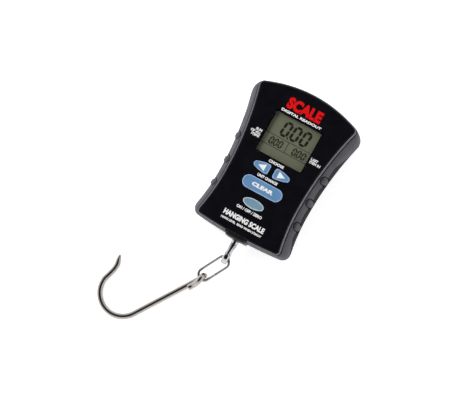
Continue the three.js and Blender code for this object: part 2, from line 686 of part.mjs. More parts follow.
// In the hook's own frame x runs down the shank from the eye's centre, y away from the
// point and z up; the shank lies below the eye's centre and the tail ends beside it.
function hookPath() {
  const points = [];
  const add = (x, y, z) => points.push(new THREE.Vector3(x, y, z));
  const low = -HOOK_EYE_R;
  const tailZ = low + Math.sqrt((2 * HOOK_WIRE_R + 0.15) ** 2 - HOOK_TAIL_ASIDE ** 2);
  add(HOOK_TAIL, HOOK_TAIL_ASIDE, tailZ);
  add(HOOK_TAIL - 2.2, HOOK_TAIL_ASIDE, tailZ);
  add(5, HOOK_TAIL_ASIDE, tailZ + 1);
  for (let turn = 60; turn <= 270; turn += 15) {
    const angle = turn * DEG;
    const aside = HOOK_TAIL_ASIDE * THREE.MathUtils.smoothstep(-turn, -150, -45);
    add(HOOK_EYE_R * Math.cos(angle), aside, HOOK_EYE_R * Math.sin(angle));
  }
  for (let x = 6; x < HOOK_SHANK; x += 8) add(x, 0, low);
  for (let turn = -90; turn <= 66; turn += 12) {
    const angle = turn * DEG;
    add(HOOK_SHANK + HOOK_BEND_R * Math.cos(angle), -HOOK_BEND_R * (1 + Math.sin(angle)), low);
  }
  return points;
}

// The stretch from the bend to the point curves in and then flares out a little.
const POINT_RUN = [[55.8, -33.1], [51.3, -34.6], [48, -36.4], [46.2, -38.2]];

function hook() {
  const low = -HOOK_EYE_R;
  const points = hookPath();
  for (const [x, y] of POINT_RUN) points.push(new THREE.Vector3(x, y, low));
  const wire = bar(points, HOOK_WIRE_R, 4, 84);
  const end = points.at(-1);
  const tipDir = end.clone().sub(points.at(-2)).normalize();
  const tip = turned('y', [0, 0], [[0, -1], [HOOK_WIRE_R * 0.97, -1], [HOOK_WIRE_R * 0.97, 0.2],
    [0.5, 4.5], [0, 4.8]], 8);
  tip.applyQuaternion(new THREE.Quaternion().setFromUnitVectors(
    new THREE.Vector3(0, 1, 0), tipDir));
  tip.translate(end.x, end.y, end.z);
  return combine(wire, [tip], []);
}

const hookMesh = part('hook', hook(), CHROME);
const hookDown = heading(HOOK_YAW, 0);
const upward = new THREE.Vector3(0, 0, 1);
const hookSide = new THREE.Vector3().crossVectors(upward, hookDown);
hookMesh.quaternion.setFromRotationMatrix(
  new THREE.Matrix4().makeBasis(hookDown, hookSide, upward));
hookMesh.position.copy(hookEye);

// ---------------------------------------------------------------- batteries and contacts

const CELL_Z = 2.6 + CELL_R;
const CONTACT_T = 0.5;

// One cell standing on its flat end at the origin, its cap pointing to +Y.
function batteryBody() {
  return turned('y', [0, 0], [[0, 0], [CELL_R - 0.4, 0], [CELL_R, 0.4], [CELL_R, CELL_L - 1.4],
    [CELL_R - 0.5, CELL_L - 0.9], [1.9, CELL_L - 0.9], [1.9, CELL_L - 0.2], [1.7, CELL_L],
    [0, CELL_L]], 20);
}

function coneSpring() {
  const turns = 3;
  const height = 3.6;
  const steps = 36;
  const points = [];
  for (let i = 0; i <= steps; i += 1) {
    const t = i / steps;
    const angle = t * turns * 2 * Math.PI;
    const radius = 3.6 - 1.7 * t;
    points.push(new THREE.Vector3(radius * Math.cos(angle), 0.4 + height * t,
      radius * Math.sin(angle)));
  }
  return bar(points, 0.3, 3, 30);
}

// The left cell's flat end is low, the right cell's is high; each meets a spring.
const CELLS = [
  { side: 'left', x: -CELL_X, flatY: BAY_LOW_Y + 5.3, springY: BAY_LOW_Y + 0.8, turn: 0 },
  { side: 'right', x: CELL_X, flatY: BAY_HIGH_Y - 5.3, springY: BAY_HIGH_Y - 0.8, turn: Math.PI },
];
for (const { side, x, flatY, springY, turn } of CELLS) {
  const cell = part(`battery_${side}`, batteryBody(), BATTERY);
  cell.position.set(x, flatY, CELL_Z);
  cell.rotation.z = turn;
  const spring = part(`contact_spring_${side}`, coneSpring(), STEEL);
  spring.position.set(x, springY, CELL_Z);
  spring.rotation.z = turn;
  const near = x < 0 ? [-10.6, -0.8] : [0.8, 10.6];
  part(`terminal_${side}`, block(near, [BAY_LOW_Y + GAP, BAY_LOW_Y + GAP + CONTACT_T], [3, 12.6]),
    STEEL);
}
part('bridge_contact', block([-10.6, 10.6],
  [BAY_HIGH_Y - GAP - CONTACT_T, BAY_HIGH_Y - GAP], [3, 12.6]), STEEL);

export default scale;
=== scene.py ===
"""Digital fish scale: fine surfaces, materials, studio and camera for the CAD frame."""
import json
import math

import bmesh
import bpy
import numpy as np
from mathutils import Matrix, Vector


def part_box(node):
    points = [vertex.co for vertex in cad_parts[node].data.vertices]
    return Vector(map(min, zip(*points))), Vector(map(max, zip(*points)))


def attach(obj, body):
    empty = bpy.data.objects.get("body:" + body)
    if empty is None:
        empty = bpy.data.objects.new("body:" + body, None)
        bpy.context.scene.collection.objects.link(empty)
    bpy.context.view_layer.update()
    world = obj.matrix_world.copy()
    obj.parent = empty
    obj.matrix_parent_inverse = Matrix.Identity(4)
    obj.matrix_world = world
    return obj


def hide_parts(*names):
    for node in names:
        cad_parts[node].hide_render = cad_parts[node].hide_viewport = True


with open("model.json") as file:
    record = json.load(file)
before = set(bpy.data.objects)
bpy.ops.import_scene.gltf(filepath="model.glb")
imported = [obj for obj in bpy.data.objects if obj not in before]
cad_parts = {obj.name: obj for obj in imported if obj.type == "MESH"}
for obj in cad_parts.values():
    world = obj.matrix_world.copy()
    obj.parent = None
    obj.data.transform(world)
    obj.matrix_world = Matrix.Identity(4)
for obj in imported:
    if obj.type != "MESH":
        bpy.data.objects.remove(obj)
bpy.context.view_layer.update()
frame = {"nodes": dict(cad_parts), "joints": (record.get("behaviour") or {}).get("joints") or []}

MM = 0.001
DEG = math.pi / 180

# -------- driving values, in mm

# outline of the case: its ends, its waist, how fast the sides flare, and its radii
TOP_Y, BOTTOM_Y = 57.8, -55.8
WAIST_Y, WAIST_HALF = -19, 35.2
FLARE_UP, FLARE_DOWN = 0.00207, 0.0034
CROWN_RADIUS, FOOT_RADIUS, CORNER_RADIUS = 92, 330, 7

# levels of the covers and keys
FACE_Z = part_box("front_cover")[1].z / MM
SEAM_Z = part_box("grip_frame")[0].z / MM
CEILING_Z = 23
FLOOR_Z = 2
WALL = 1.8
KEY_FOOT_Z, KEY_TOP_Z = (corner.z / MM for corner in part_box("key_clear"))
DISPLAY_Y, DISPLAY_W, DISPLAY_H = 20.2, 35.4, 30.9

# rings of the case: z, inset at the sides, inset at the ends
BACK_FORM = [[0, 6, 4], [0.9, 3.8, 2.6], [2.6, 1.9, 1.3], [5.5, 0.4, 0.3], [9, 0, 0]]
GRIP_WALL = [[SEAM_Z, 0, 0], [13.5, 0.8, 0.12], [17.6, 1.9, 0.3], [21, 3.7, 0.5],
             [22.6, 4.95, 0.62]]
GRIP_GROOVE = [[22.85, 5.22, 0.66], [22.95, 5.36, 0.7], [22.92, 5.5, 0.74], [22.75, 5.6, 0.78],
               [22.3, 5.66, 0.8], [22.0, 5.74, 0.83], [21.95, 5.84, 0.85], [22.1, 5.94, 0.88]]
GRIP_LIP = [[22.6, 6.0, 0.9], [24.35, 6.1, 0.95], [24.65, 6.15, 0.98], [24.85, 6.28, 1.06],
            [24.96, 6.45, 1.18], [FACE_Z, 6.6, 1.32], [24.96, 6.78, 1.48], [24.85, 6.92, 1.6],
            [24.6, 7.0, 1.7]]
SKIRT_FORM = [[12.4, 3.2, 2], [20, 6.3, 2], [24.6, 7.3, 2]]

JOINT = {j["name"]: j for j in frame["joints"]}
ROD_EYE = Vector(JOINT["link_swing"]["pos_m"]) / MM
HOOK_EYE = Vector(JOINT["hook_swing"]["pos_m"]) / MM
AXIS_Z = ROD_EYE.z


# -------- mesh tools

POINT_R = 1e-4  # radius that stands for a point, in mm
END_TURNS = (35, 60, 80)  # degrees at which a bar's end has its rings
START_ROUND, END_REACH = 0.35, 0.6  # how far the ends bulge, as shares of the radius


def mesh_object(name, verts, faces, smooth=True):
    """Object from points in millimetres."""
    mesh = bpy.data.meshes.new(name)
    mesh.from_pydata([tuple(v) for v in np.asarray(verts, float) * MM], [], faces)
    mesh.validate()
    mesh.update()
    mesh.shade_smooth() if smooth else mesh.shade_flat()
    obj = bpy.data.objects.new(name, mesh)
    bpy.context.scene.collection.objects.link(obj)
    return obj


def dress(obj, material, body, replaces=()):
    """Material, body and the CAD nodes that a piece stands for."""
    obj.data.materials.clear()
    obj.data.materials.append(material)
    settle(obj, body, replaces)


def settle(obj, body, replaces=()):
    """Body and replaced CAD nodes of a piece that has its materials."""
    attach(obj, body)
    if replaces:
        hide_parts(*replaces)


def bake(obj):
    """Applies an object's modifiers."""
    graph = bpy.context.evaluated_depsgraph_get()
    mesh = bpy.data.meshes.new_from_object(obj.evaluated_get(graph))
    obj.modifiers.clear()
    old = obj.data
    obj.data = mesh
    mesh.name = obj.name
    bpy.data.meshes.remove(old)


def sharpen(obj, angle):
    """Sharp edges where faces meet at more than an angle in degrees."""
    obj.data.set_sharp_from_angle(angle=angle * DEG)


def carve(obj, cutters, operation="DIFFERENCE"):
    """Cuts the cutters out of obj, or joins them to it, and removes them."""
    for cutter in cutters:
        mod = obj.modifiers.new("carve", "BOOLEAN")
        mod.operation = operation
        mod.solver = "EXACT"
        mod.object = cutter
    bake(obj)
    for cutter in cutters:
        mesh = cutter.data
        bpy.data.objects.remove(cutter)
        bpy.data.meshes.remove(mesh)


def soften(obj, width, angle=35):
    """Rounds edges sharper than an angle to a width in millimetres, shaded evenly."""
    mod = obj.modifiers.new("soften", "BEVEL")
    mod.width = width * MM
    mod.segments = 2
    mod.limit_method = "ANGLE"
    mod.angle_limit = angle * DEG
    mod.miter_outer = "MITER_ARC"
    normals = obj.modifiers.new("even", "WEIGHTED_NORMAL")
    normals.keep_sharp = True
    return obj


def stack(rings, capped=True):
    """Vertices and faces through equal rings of points, with both ends closed if capped."""
    n = len(rings[0])
    verts = np.concatenate([np.asarray(r, float) for r in rings])
    faces = []
    for k in range(len(rings) - 1):
        for i in range(n):
            j = (i + 1) % n
            faces.append((k * n + i, k * n + j, (k + 1) * n + j, (k + 1) * n + i))
    if capped:
        faces.append(tuple(reversed(range(n))))
        faces.append(tuple(range((len(rings) - 1) * n, len(rings) * n)))
    return verts, faces


def stack_loop(rings):
    """Vertices and faces through rings of which the last leads back to the first."""
    verts, faces = stack([*rings, rings[0]], capped=False)
    count = len(rings) * len(rings[0])
    return verts[:count], [tuple(v % count for v in face) for face in faces]


def full_turn(count):
    """Angles round a circle, without its end."""
    return np.linspace(0, 2 * math.pi, count, endpoint=False)


def ellipse(x, y, half_w, half_h, count):
    turn = full_turn(count)
    return np.column_stack([x + half_w * np.cos(turn), y + half_h * np.sin(turn)])


def at_z(points, z):
    """Points (x, y) on a level."""
    return np.column_stack([points, np.full(len(points), z)])


def at_y(points, y):
    """Points (x, z) at a station along the case."""
    return np.column_stack([points[:, 0], np.full(len(points), y), points[:, 1]])


def lathe_object(name, profile, origin, axis="Z", sides=48):
    """Turned solid for profile points (radius, height); a zero radius closes an end."""
    rings = [at_z(ellipse(0, 0, max(r, POINT_R), max(r, POINT_R), sides), z) for r, z in profile]
    verts, faces = stack(rings)
    if axis == "Y":
        verts = verts[:, [1, 2, 0]]
    if axis == "X":
        verts = verts[:, [2, 0, 1]]
    return mesh_object(name, verts + np.array(origin, float), faces)


def prism_object(name, points, z0, z1):
    verts, faces = stack([at_z(points, z0), at_z(points, z1)])
    return mesh_object(name, verts, faces, smooth=False)


def box_object(name, low, high):
    corners = [(low[0], low[1]), (high[0], low[1]), (high[0], high[1]), (low[0], high[1])]
    return prism_object(name, corners, low[2], high[2])


def rounded_rect(half_w, half_h, radius, centre=(0, 0), steps=8):
    points = []
    for quarter, (sx, sy) in enumerate(((1, 1), (-1, 1), (-1, -1), (1, -1))):
        for i in range(steps + 1):
            turn = (quarter + i / steps) * math.pi / 2
            points.append((centre[0] + sx * (half_w - radius) + radius * math.cos(turn),
                           centre[1] + sy * (half_h - radius) + radius * math.sin(turn)))
    return np.array(points)


def tube(points, radii, sides, closed, up):
    """Round bar along points with a radius at each one, closed or with rounded ends."""
    points = np.asarray(points, float)
    if closed:
        tangents = np.roll(points, -1, 0) - np.roll(points, 1, 0)
    else:
        tangents = np.gradient(points, axis=0)
    tangents /= np.linalg.norm(tangents, axis=1)[:, None]
    normal = np.cross(tangents[0], up)
    normal /= np.linalg.norm(normal)
    turn = full_turn(sides)
    rings = []

    def ring(centre, tangent, radius):
        other = np.cross(tangent, normal)
        return centre + radius * (np.outer(np.cos(turn), normal) + np.outer(np.sin(turn), other))

    for k, (centre, tangent) in enumerate(zip(points, tangents)):
        normal = normal - tangent * normal.dot(tangent)
        normal /= np.linalg.norm(normal)
        if k == 0 and not closed:
            for a in reversed(END_TURNS):
                back = centre - tangent * radii[0] * START_ROUND * math.sin(a * DEG)
                less = 1 - START_ROUND + START_ROUND * math.cos(a * DEG)
                rings.append(ring(back, tangent, radii[0] * less))
        rings.append(ring(centre, tangent, radii[k]))
        if k == len(points) - 1 and not closed:
            for a in END_TURNS:
                on = centre + tangent * radii[k] * END_REACH * math.sin(a * DEG)
                rings.append(ring(on, tangent, radii[k] * math.cos(a * DEG)))
    return stack_loop(rings) if closed else stack(rings)


def ease(t):
    """Smooth step from 0 to 1."""
    return t * t * (3 - 2 * t)


def through(points, step):
    """Points a step apart on a smooth curve through the given ones."""
    p = np.asarray(points, float)
    p = np.vstack([2 * p[0] - p[1], p, 2 * p[-1] - p[-2]])
    out = []
    for a, b, c, d in zip(p[:-3], p[1:-2], p[2:-1], p[3:]):
        count = max(int(np.linalg.norm(c - b) / step), 1)
        for i in range(count):
            t = i / count
            out.append(0.5 * (2 * b + (c - a) * t + (2 * a - 5 * b + 4 * c - d) * t * t
                              + (3 * b - a - 3 * c + d) * t ** 3))
    out.append(p[-2])
    return np.array(out)


# -------- case outline

LEAST_CORNER = 2
GUIDE_TOP, GUIDE_FOOT = (43, 54), (39, 54)  # half sizes of the rectangle that sets the rays
GUIDE_CORNER, CORNER_DENSITY = 10, 1.6
RAY_LENGTH, HALVINGS = 95.0, 36


def beyond_outline(x, y, side_inset, end_inset):
    """Signed distance past the case outline, less its insets at the sides and the ends."""
    flare = np.where(y > WAIST_Y, FLARE_UP, FLARE_DOWN)
    side = np.abs(x) - (WAIST_HALF + flare * (y - WAIST_Y) ** 2 - side_inset)
    bow = np.where(y > 0, CROWN_RADIUS, FOOT_RADIUS)
    edge = np.where(y > 0, TOP_Y, -BOTTOM_Y) - x * x / (2 * bow) - end_inset
    end = np.abs(y) - edge
    radius = max(CORNER_RADIUS - (side_inset + end_inset) / 2, LEAST_CORNER)
    past = np.hypot(np.maximum(side + radius, 0), np.maximum(end + radius, 0))
    return np.minimum(np.maximum(side + radius, end + radius), 0) + past - radius


def outline_rays(spacing):
    """Directions from the centre that are about a spacing apart on the outline."""
    rays = []
    guide = [(*GUIDE_TOP, 1, 1), (*GUIDE_TOP, -1, 1), (*GUIDE_FOOT, -1, -1), (*GUIDE_FOOT, 1, -1)]
    corner = GUIDE_CORNER
    for quarter, (gx, gy, sx, sy) in enumerate(guide):
        steps = int(corner * math.pi / 2 / spacing * CORNER_DENSITY)
        for i in range(steps + 1):
            turn = (quarter + i / steps) * math.pi / 2
            rays.append((sx * (gx - corner) + corner * math.cos(turn),
                         sy * (gy - corner) + corner * math.sin(turn)))
        nx, ny, tx, ty = guide[(quarter + 1) % 4]
        if quarter % 2 == 0:
            start, stop = (sx * (gx - corner), sy * gy), (tx * (nx - corner), ty * ny)
        else:
            start, stop = (sx * gx, sy * (gy - corner)), (tx * nx, ty * (ny - corner))
        run = np.linspace(start, stop, int(np.hypot(*np.subtract(stop, start)) / spacing) + 1)
        rays.extend(map(tuple, run[1:-1]))
    rays = np.array(rays)
    return np.arctan2(rays[:, 1], rays[:, 0])


def outline(rays, side_inset, end_inset):
    """Points of the inset outline on the given rays, found by halving."""
    near, far = np.zeros(len(rays)), np.full(len(rays), RAY_LENGTH)
    for _ in range(HALVINGS):
        mid = (near + far) / 2
        out = beyond_outline(mid * np.cos(rays), mid * np.sin(rays), side_inset, end_inset) > 0
        far = np.where(out, mid, far)
        near = np.where(out, near, mid)
    return np.column_stack([near * np.cos(rays), near * np.sin(rays)])


def fine_levels(levels, count):
    """Levels on a smooth curve through the given ones."""
    spots = np.array(levels, float)
    run = np.concatenate([[0], np.cumsum(np.hypot(np.diff(spots[:, 0]), np.diff(spots[:, 1])))])
    slopes = np.gradient(spots, run, axis=0)
    at = np.linspace(0, 1, count) * run[-1]
    k = np.clip(np.searchsorted(run, at, side="right") - 1, 0, len(spots) - 2)
    h = (run[k + 1] - run[k])[:, None]
    t = ((at - run[k])[:, None]) / h
    a, b, m, n = spots[k], spots[k + 1], slopes[k] * h, slopes[k + 1] * h
    curve = (2 * t ** 3 - 3 * t * t + 1) * a + (t ** 3 - 2 * t * t + t) * m
    return curve + (3 * t * t - 2 * t ** 3) * b + (t ** 3 - t * t) * n


def case_rings(rays, levels):
    return [at_z(outline(rays, side, end), z) for z, side, end in levels]


def case_loft(name, rays, levels):
    return mesh_object(name, *stack(case_rings(rays, levels)))


def inset(levels, by):
    """Levels set in by a further length all round."""
    return [[z, side + by, end + by] for z, side, end in levels]


# -------- materials

NOISE_LOW, NOISE_HIGH = 0.3, 0.7  # the part of a noise's range that is spread over a variation


def set_inputs(node, **values):
    for socket, value in values.items():
        node.inputs[socket.replace("_", " ")].default_value = value


def add_node(nodes, kind, **values):
    """New shader node with values for its inputs."""
    node = nodes.new("ShaderNode" + kind)
    set_inputs(node, **values)
    return node


class Shader:
    """A Principled material built up by short calls. Lengths are in millimetres."""

    def __init__(self, name, colour, roughness, **values):
        self.material = bpy.data.materials.new(name)
        self.material.use_nodes = True
        self.nodes = self.material.node_tree.nodes
        self.links = self.material.node_tree.links
        self.bsdf = self.nodes["Principled BSDF"]
        set_inputs(self.bsdf, Base_Color=(*colour, 1), Roughness=roughness, **values)
        self.place = add_node(self.nodes, "TexCoord").outputs["Object"]
        self.bump = None

    def noise(self, size, detail, stretch=None):
        node = add_node(self.nodes, "TexNoise", Scale=1 / (size * MM), Detail=detail)
        place = self.place
        if stretch:
            mapping = add_node(self.nodes, "Mapping", Scale=stretch)
            self.links.new(place, mapping.inputs["Vector"])
            place = mapping.outputs["Vector"]
        self.links.new(place, node.inputs["Vector"])
        return node.outputs["Fac"]

    def vary_colour(self, value, other):
        """The colour drifts between its own and another."""
        ramp = add_node(self.nodes, "ValToRGB")
        first, last = ramp.color_ramp.elements
        first.position, last.position = NOISE_LOW, NOISE_HIGH
        first.color = tuple(self.bsdf.inputs["Base Color"].default_value)
        last.color = (*other, 1)
        self.links.new(value, ramp.inputs["Fac"])
        self.links.new(ramp.outputs["Color"], self.bsdf.inputs["Base Color"])

    def vary_roughness(self, value, low, high):
        node = add_node(self.nodes, "MapRange", From_Min=NOISE_LOW, From_Max=NOISE_HIGH,
                        To_Min=low, To_Max=high)
        self.links.new(value, node.inputs["Value"])
        self.links.new(node.outputs["Result"], self.bsdf.inputs["Roughness"])

    def add_bump(self, value, height, strength=1.0):
        node = add_node(self.nodes, "Bump", Distance=height * MM, Strength=strength)
        self.links.new(value, node.inputs["Height"])
        if self.bump:
            self.links.new(self.bump, node.inputs["Normal"])
        self.bump = node.outputs["Normal"]
        self.links.new(self.bump, self.bsdf.inputs["Normal"])


def moulded(name, colour, other, roughness, grain, height, shine=0.5):
    """Moulded plastic or rubber: colour drifting to another, and grain of a size and a height."""
    s = Shader(name, colour, roughness, Specular_IOR_Level=shine)
    s.vary_colour(s.noise(6, 4), other)
    s.vary_roughness(s.noise(1.5, 3), roughness - 0.07, roughness + 0.07)
    s.add_bump(s.noise(grain, 3), height)
    return s.material


def black_gloss():
    """Polished black plastic with faint haze and flow."""
    s = Shader("black_gloss", (0.0028, 0.0028, 0.004), 0.16, Specular_IOR_Level=0.42)
    s.vary_colour(s.noise(9, 3), (0.0045, 0.0045, 0.006))
    s.vary_roughness(s.noise(3.5, 4), 0.13, 0.21)
    s.add_bump(s.noise(2.6, 2), 0.004)
    return s.material


def chrome(name, colour, roughness):
    """Bright metal with faint tarnish."""
    s = Shader(name, colour, roughness, Metallic=1.0)
    s.vary_colour(s.noise(5, 4), tuple(c * 0.9 for c in colour))
    s.vary_roughness(s.noise(1.2, 5), roughness - 0.05, roughness + 0.07)
    s.add_bump(s.noise(0.35, 3), 0.006, 0.5)
    return s.material


def brushed(name, colour, roughness, stretch):
    """Metal with tool marks drawn out along the axis of least stretch."""
    s = Shader(name, colour, roughness, Metallic=1.0)
    s.vary_roughness(s.noise(0.5, 4, stretch), roughness - 0.1, roughness + 0.12)
    s.add_bump(s.noise(0.3, 3, stretch), 0.01, 0.5)
    return s.material


def board_green():
    """Solder mask with copper tracks under it."""
    mask, track_pitch, track_width = (0.008, 0.07, 0.025), 9, 0.035
    s = Shader("board_green", mask, 0.35)
    brick = add_node(s.nodes, "TexBrick", Scale=1 / (track_pitch * MM), Mortar_Size=track_width,
                     Color1=(*mask, 1), Color2=(0.01, 0.09, 0.03, 1), Mortar=(0.04, 0.16, 0.05, 1))
    s.links.new(s.place, brick.inputs["Vector"])
    s.links.new(brick.outputs["Color"], s.bsdf.inputs["Base Color"])
    s.add_bump(brick.outputs["Fac"], 0.03, 0.6)
    return s.material


def clear_window():
    """Thin clear acrylic: it reflects least when seen square on, and most at a shallow angle."""
    least, most, falloff = 0.018, 0.7, 5
    material = bpy.data.materials.new("clear_window")
    material.use_nodes = True
    nodes, links = material.node_tree.nodes, material.node_tree.links
    nodes.remove(nodes["Principled BSDF"])
    glossy = add_node(nodes, "BsdfGlossy", Roughness=0.04)
    clear = add_node(nodes, "BsdfTransparent", Color=(0.95, 0.96, 0.95, 1))
    facing = add_node(nodes, "LayerWeight", Blend=0.5)
    steep = add_node(nodes, "Math")
    steep.operation = "POWER"
    steep.inputs[1].default_value = falloff
    share = add_node(nodes, "MapRange", To_Min=least, To_Max=most)
    mix = add_node(nodes, "MixShader")
    links.new(facing.outputs["Facing"], steep.inputs[0])
    links.new(steep.outputs["Value"], share.inputs["Value"])
    links.new(share.outputs["Result"], mix.inputs["Fac"])
    links.new(clear.outputs["BSDF"], mix.inputs[1])
    links.new(glossy.outputs["BSDF"], mix.inputs[2])
    links.new(mix.outputs["Shader"], nodes["Material Output"].inputs["Surface"])
    return material


def lcd_film():
    """Reflective twisted-nematic film with its fine speckle."""
    s = Shader("lcd_film", (0.15, 0.155, 0.106), 0.42)
    s.vary_colour(s.noise(0.22, 2), (0.17, 0.175, 0.121))
    s.vary_roughness(s.noise(4, 3), 0.37, 0.47)
    s.add_bump(s.noise(0.2, 2), 0.003, 0.6)
    return s.material


def ink(name, colour, roughness):
    """Screen-printed ink, matt and slightly uneven."""
    s = Shader(name, colour, roughness, Specular_IOR_Level=0.25)
    s.vary_colour(s.noise(0.8, 3), tuple(c * 0.86 for c in colour))
    s.add_bump(s.noise(0.25, 2), 0.004, 0.6)
    return s.material


# moulded: name, colour, colour it drifts to, roughness, grain size, grain height, shine
BLACK = black_gloss()
GRIP = moulded("grey_grip", (0.056, 0.056, 0.066), (0.073, 0.073, 0.084), 0.6, 0.35, 0.03, 0.15)
# the lip is a lighter copy of the grip rubber: a painted highlight along its rounded edge
LIP_HIGHLIGHT = moulded("grip_lip_painted_highlight", (0.115, 0.115, 0.134), (0.14, 0.14, 0.16), 0.5, 0.35, 0.02, 0.3)
# near-black copy of the grip rubber: painted shade in the groove below the lip and in the rings
# round the ribs
GROOVE_SHADE = moulded("groove_painted_shade", (0.006, 0.006, 0.007), (0.009, 0.009, 0.01), 0.8, 0.35, 0.02,
                 0.04)
# dark copy of the grip rubber: painted shade on the lower side walls
SHADE_BAND = moulded("painted_shade_band", (0.02, 0.02, 0.021), (0.028, 0.028, 0.03), 0.8, 0.35, 0.03, 0.05)
BACK = moulded("grey_back", (0.05, 0.05, 0.056), (0.066, 0.066, 0.073), 0.52, 0.5, 0.035)
COLLAR = moulded("collar_rubber", (0.006, 0.006, 0.007), (0.009, 0.009, 0.0105), 0.42, 0.4, 0.012,
                 0.25)
RUBBER = moulded("dark_rubber", (0.02, 0.02, 0.021), (0.03, 0.03, 0.031), 0.7, 0.5, 0.03)
KEY_BLUE = moulded("key_blue", (0.092, 0.2, 0.36), (0.108, 0.225, 0.395), 0.42, 0.3, 0.01)
# lighter copy of the blue on the keys' rounded rims: a painted highlight
KEY_BLUE_RIM_HIGHLIGHT = moulded("key_blue_rim_highlight", (0.26, 0.4, 0.62), (0.31, 0.45, 0.68), 0.36, 0.3, 0.01)
KEY_TEAL = moulded("key_teal", (0.135, 0.23, 0.3), (0.155, 0.26, 0.33), 0.42, 0.3, 0.01)
# lighter copy of the teal on the key's rounded rim: a painted highlight
KEY_TEAL_RIM_HIGHLIGHT = moulded("key_teal_rim_highlight", (0.47, 0.58, 0.64), (0.53, 0.64, 0.7), 0.36, 0.3, 0.01)
CHROME = chrome("chrome_rod", (0.5, 0.5, 0.515), 0.12)
LINK_CHROME = chrome("chrome_link", (0.36, 0.36, 0.37), 0.14)
HOOK_STEEL = chrome("hook_steel", (0.37, 0.348, 0.33), 0.17)
STEEL = brushed("plated_steel", (0.5, 0.5, 0.52), 0.32, (1, 1, 0.2))
ALUMINIUM = brushed("aluminium", (0.6, 0.61, 0.63), 0.38, (1, 0.12, 1))
BRASS = brushed("brass", (0.62, 0.45, 0.18), 0.3, (1, 0.2, 1))
GREEN = board_green()
CLEAR = clear_window()
FILM = lcd_film()
JACKET = moulded("battery_jacket", (0.30, 0.07, 0.02), (0.36, 0.1, 0.03), 0.3, 3, 0.01)
WHITE_INK = ink("white_ink", (0.78, 0.78, 0.78), 0.45)
RED_INK = ink("red_ink", (0.62, 0.004, 0.005), 0.4)
SEGMENT = ink("lcd_segment", (0.006, 0.006, 0.0045), 0.4)
# grey copy of the reading, shifted aside under the digits: their painted shadow on the film
SEGMENT_SHADOW = ink("lcd_segment_painted_shadow", (0.088, 0.092, 0.06), 0.5)


# -------- keys

# an arrow key narrows from inner to outer
ARROW = dict(inner=1.8, outer=13.6, y=-4.1, inner_half=3.75, outer_half=2.0, corner=1.7,
             end_bulge=0.25, end_crown=0.45, side_bulge=0.15)
SIDE_STEPS, END_STEPS, CORNER_STEPS = 16, 8, 5
PILL = dict(half_w=15.25, half_h=4.7, y=-17.4)
OVAL = dict(half_w=7.95, half_h=3.45, y=-30.0)
END_FLAT = 0.01  # keeps the two quarters of a pill's end apart


def bow(a, b, c, steps):
    """Points on a quadratic curve from a to c, without its end."""
    t = np.linspace(0, 1, steps, endpoint=False)[:, None]
    a, b, c = map(np.asarray, (a, b, c))
    return (1 - t) ** 2 * a + 2 * t * (1 - t) * b + t * t * c


def arrow_outline(side, grow):
    """Tapered key that narrows away from the centre line, with rounded corners."""
    inner, outer, corner = ARROW["inner"], ARROW["outer"], ARROW["corner"]
    y, high, low = ARROW["y"], ARROW["inner_half"], ARROW["outer_half"]
    mid = (inner + outer) / 2
    near, far = inner + corner, outer - corner
    end, crown = outer + ARROW["end_bulge"], outer + ARROW["end_crown"]
    side_low, side_high = y - low - ARROW["side_bulge"], y + low + ARROW["side_bulge"]
    points = np.vstack([
        bow((near, y - high), (mid, y - high), (far, side_low), SIDE_STEPS),
        bow((far, side_low), (outer, y - low), (end, y - low + corner), CORNER_STEPS),
        bow((end, y - low + corner), (crown, y), (end, y + low - corner), END_STEPS),
        bow((end, y + low - corner), (outer, y + low), (far, side_high), CORNER_STEPS),
        bow((far, side_high), (mid, y + high), (near, y + high), SIDE_STEPS),
        bow((near, y + high), (inner, y + high), (inner, y + high - corner), CORNER_STEPS),
        bow((inner, y + high - corner), (inner, y), (inner, y - high + corner), END_STEPS),
        bow((inner, y - high + corner), (inner, y - high), (near, y - high), CORNER_STEPS),
    ])
    half = (outer - inner) / 2
    middle = np.array([mid, y])
    points = middle + (points - middle) * ((half + grow) / half, (high + grow) / high)
    return points if side > 0 else (points * (-1, 1))[::-1]


def pill_outline(grow):
    half_h = PILL["half_h"] + grow
    return rounded_rect(PILL["half_w"] + grow, half_h, half_h - END_FLAT, (0, PILL["y"]), 16)


def oval_outline(grow):
    return ellipse(0, OVAL["y"], OVAL["half_w"] + grow, OVAL["half_h"] + grow, 72)


BLUE, TEAL = ("key_blue", KEY_BLUE, KEY_BLUE_RIM_HIGHLIGHT), ("key_teal", KEY_TEAL, KEY_TEAL_RIM_HIGHLIGHT)
# node: body, outline grown by a length, record slot, material of the face and of the rim, a
# lighter copy that is a painted highlight
KEYS = {
    "key_previous": ("previous_key", lambda grow: arrow_outline(-1, grow), *BLUE),
    "key_next": ("next_key", lambda grow: arrow_outline(1, grow), *BLUE),
    "key_clear": ("clear_key", pill_outline, *BLUE),
    "key_power": ("power_key", oval_outline, *TEAL),
}
# rings of a cap: z, growth of its outline; its rim, painted lighter as a highlight, lies between
# two of them
KEY_LEVELS = [(KEY_FOOT_Z, 0.9), (KEY_FOOT_Z + 1, 0.9), (KEY_FOOT_Z + 1, 0), (24.7, 0),
              (25.2, -0.04), (25.5, -0.16), (25.66, -0.36), (KEY_TOP_Z, -0.6), (25.66, -0.85),
              (25.58, -1.05), (25.54, -1.35), (25.56, -2.0)]
RIM_FROM, RIM_TO = 3, 7


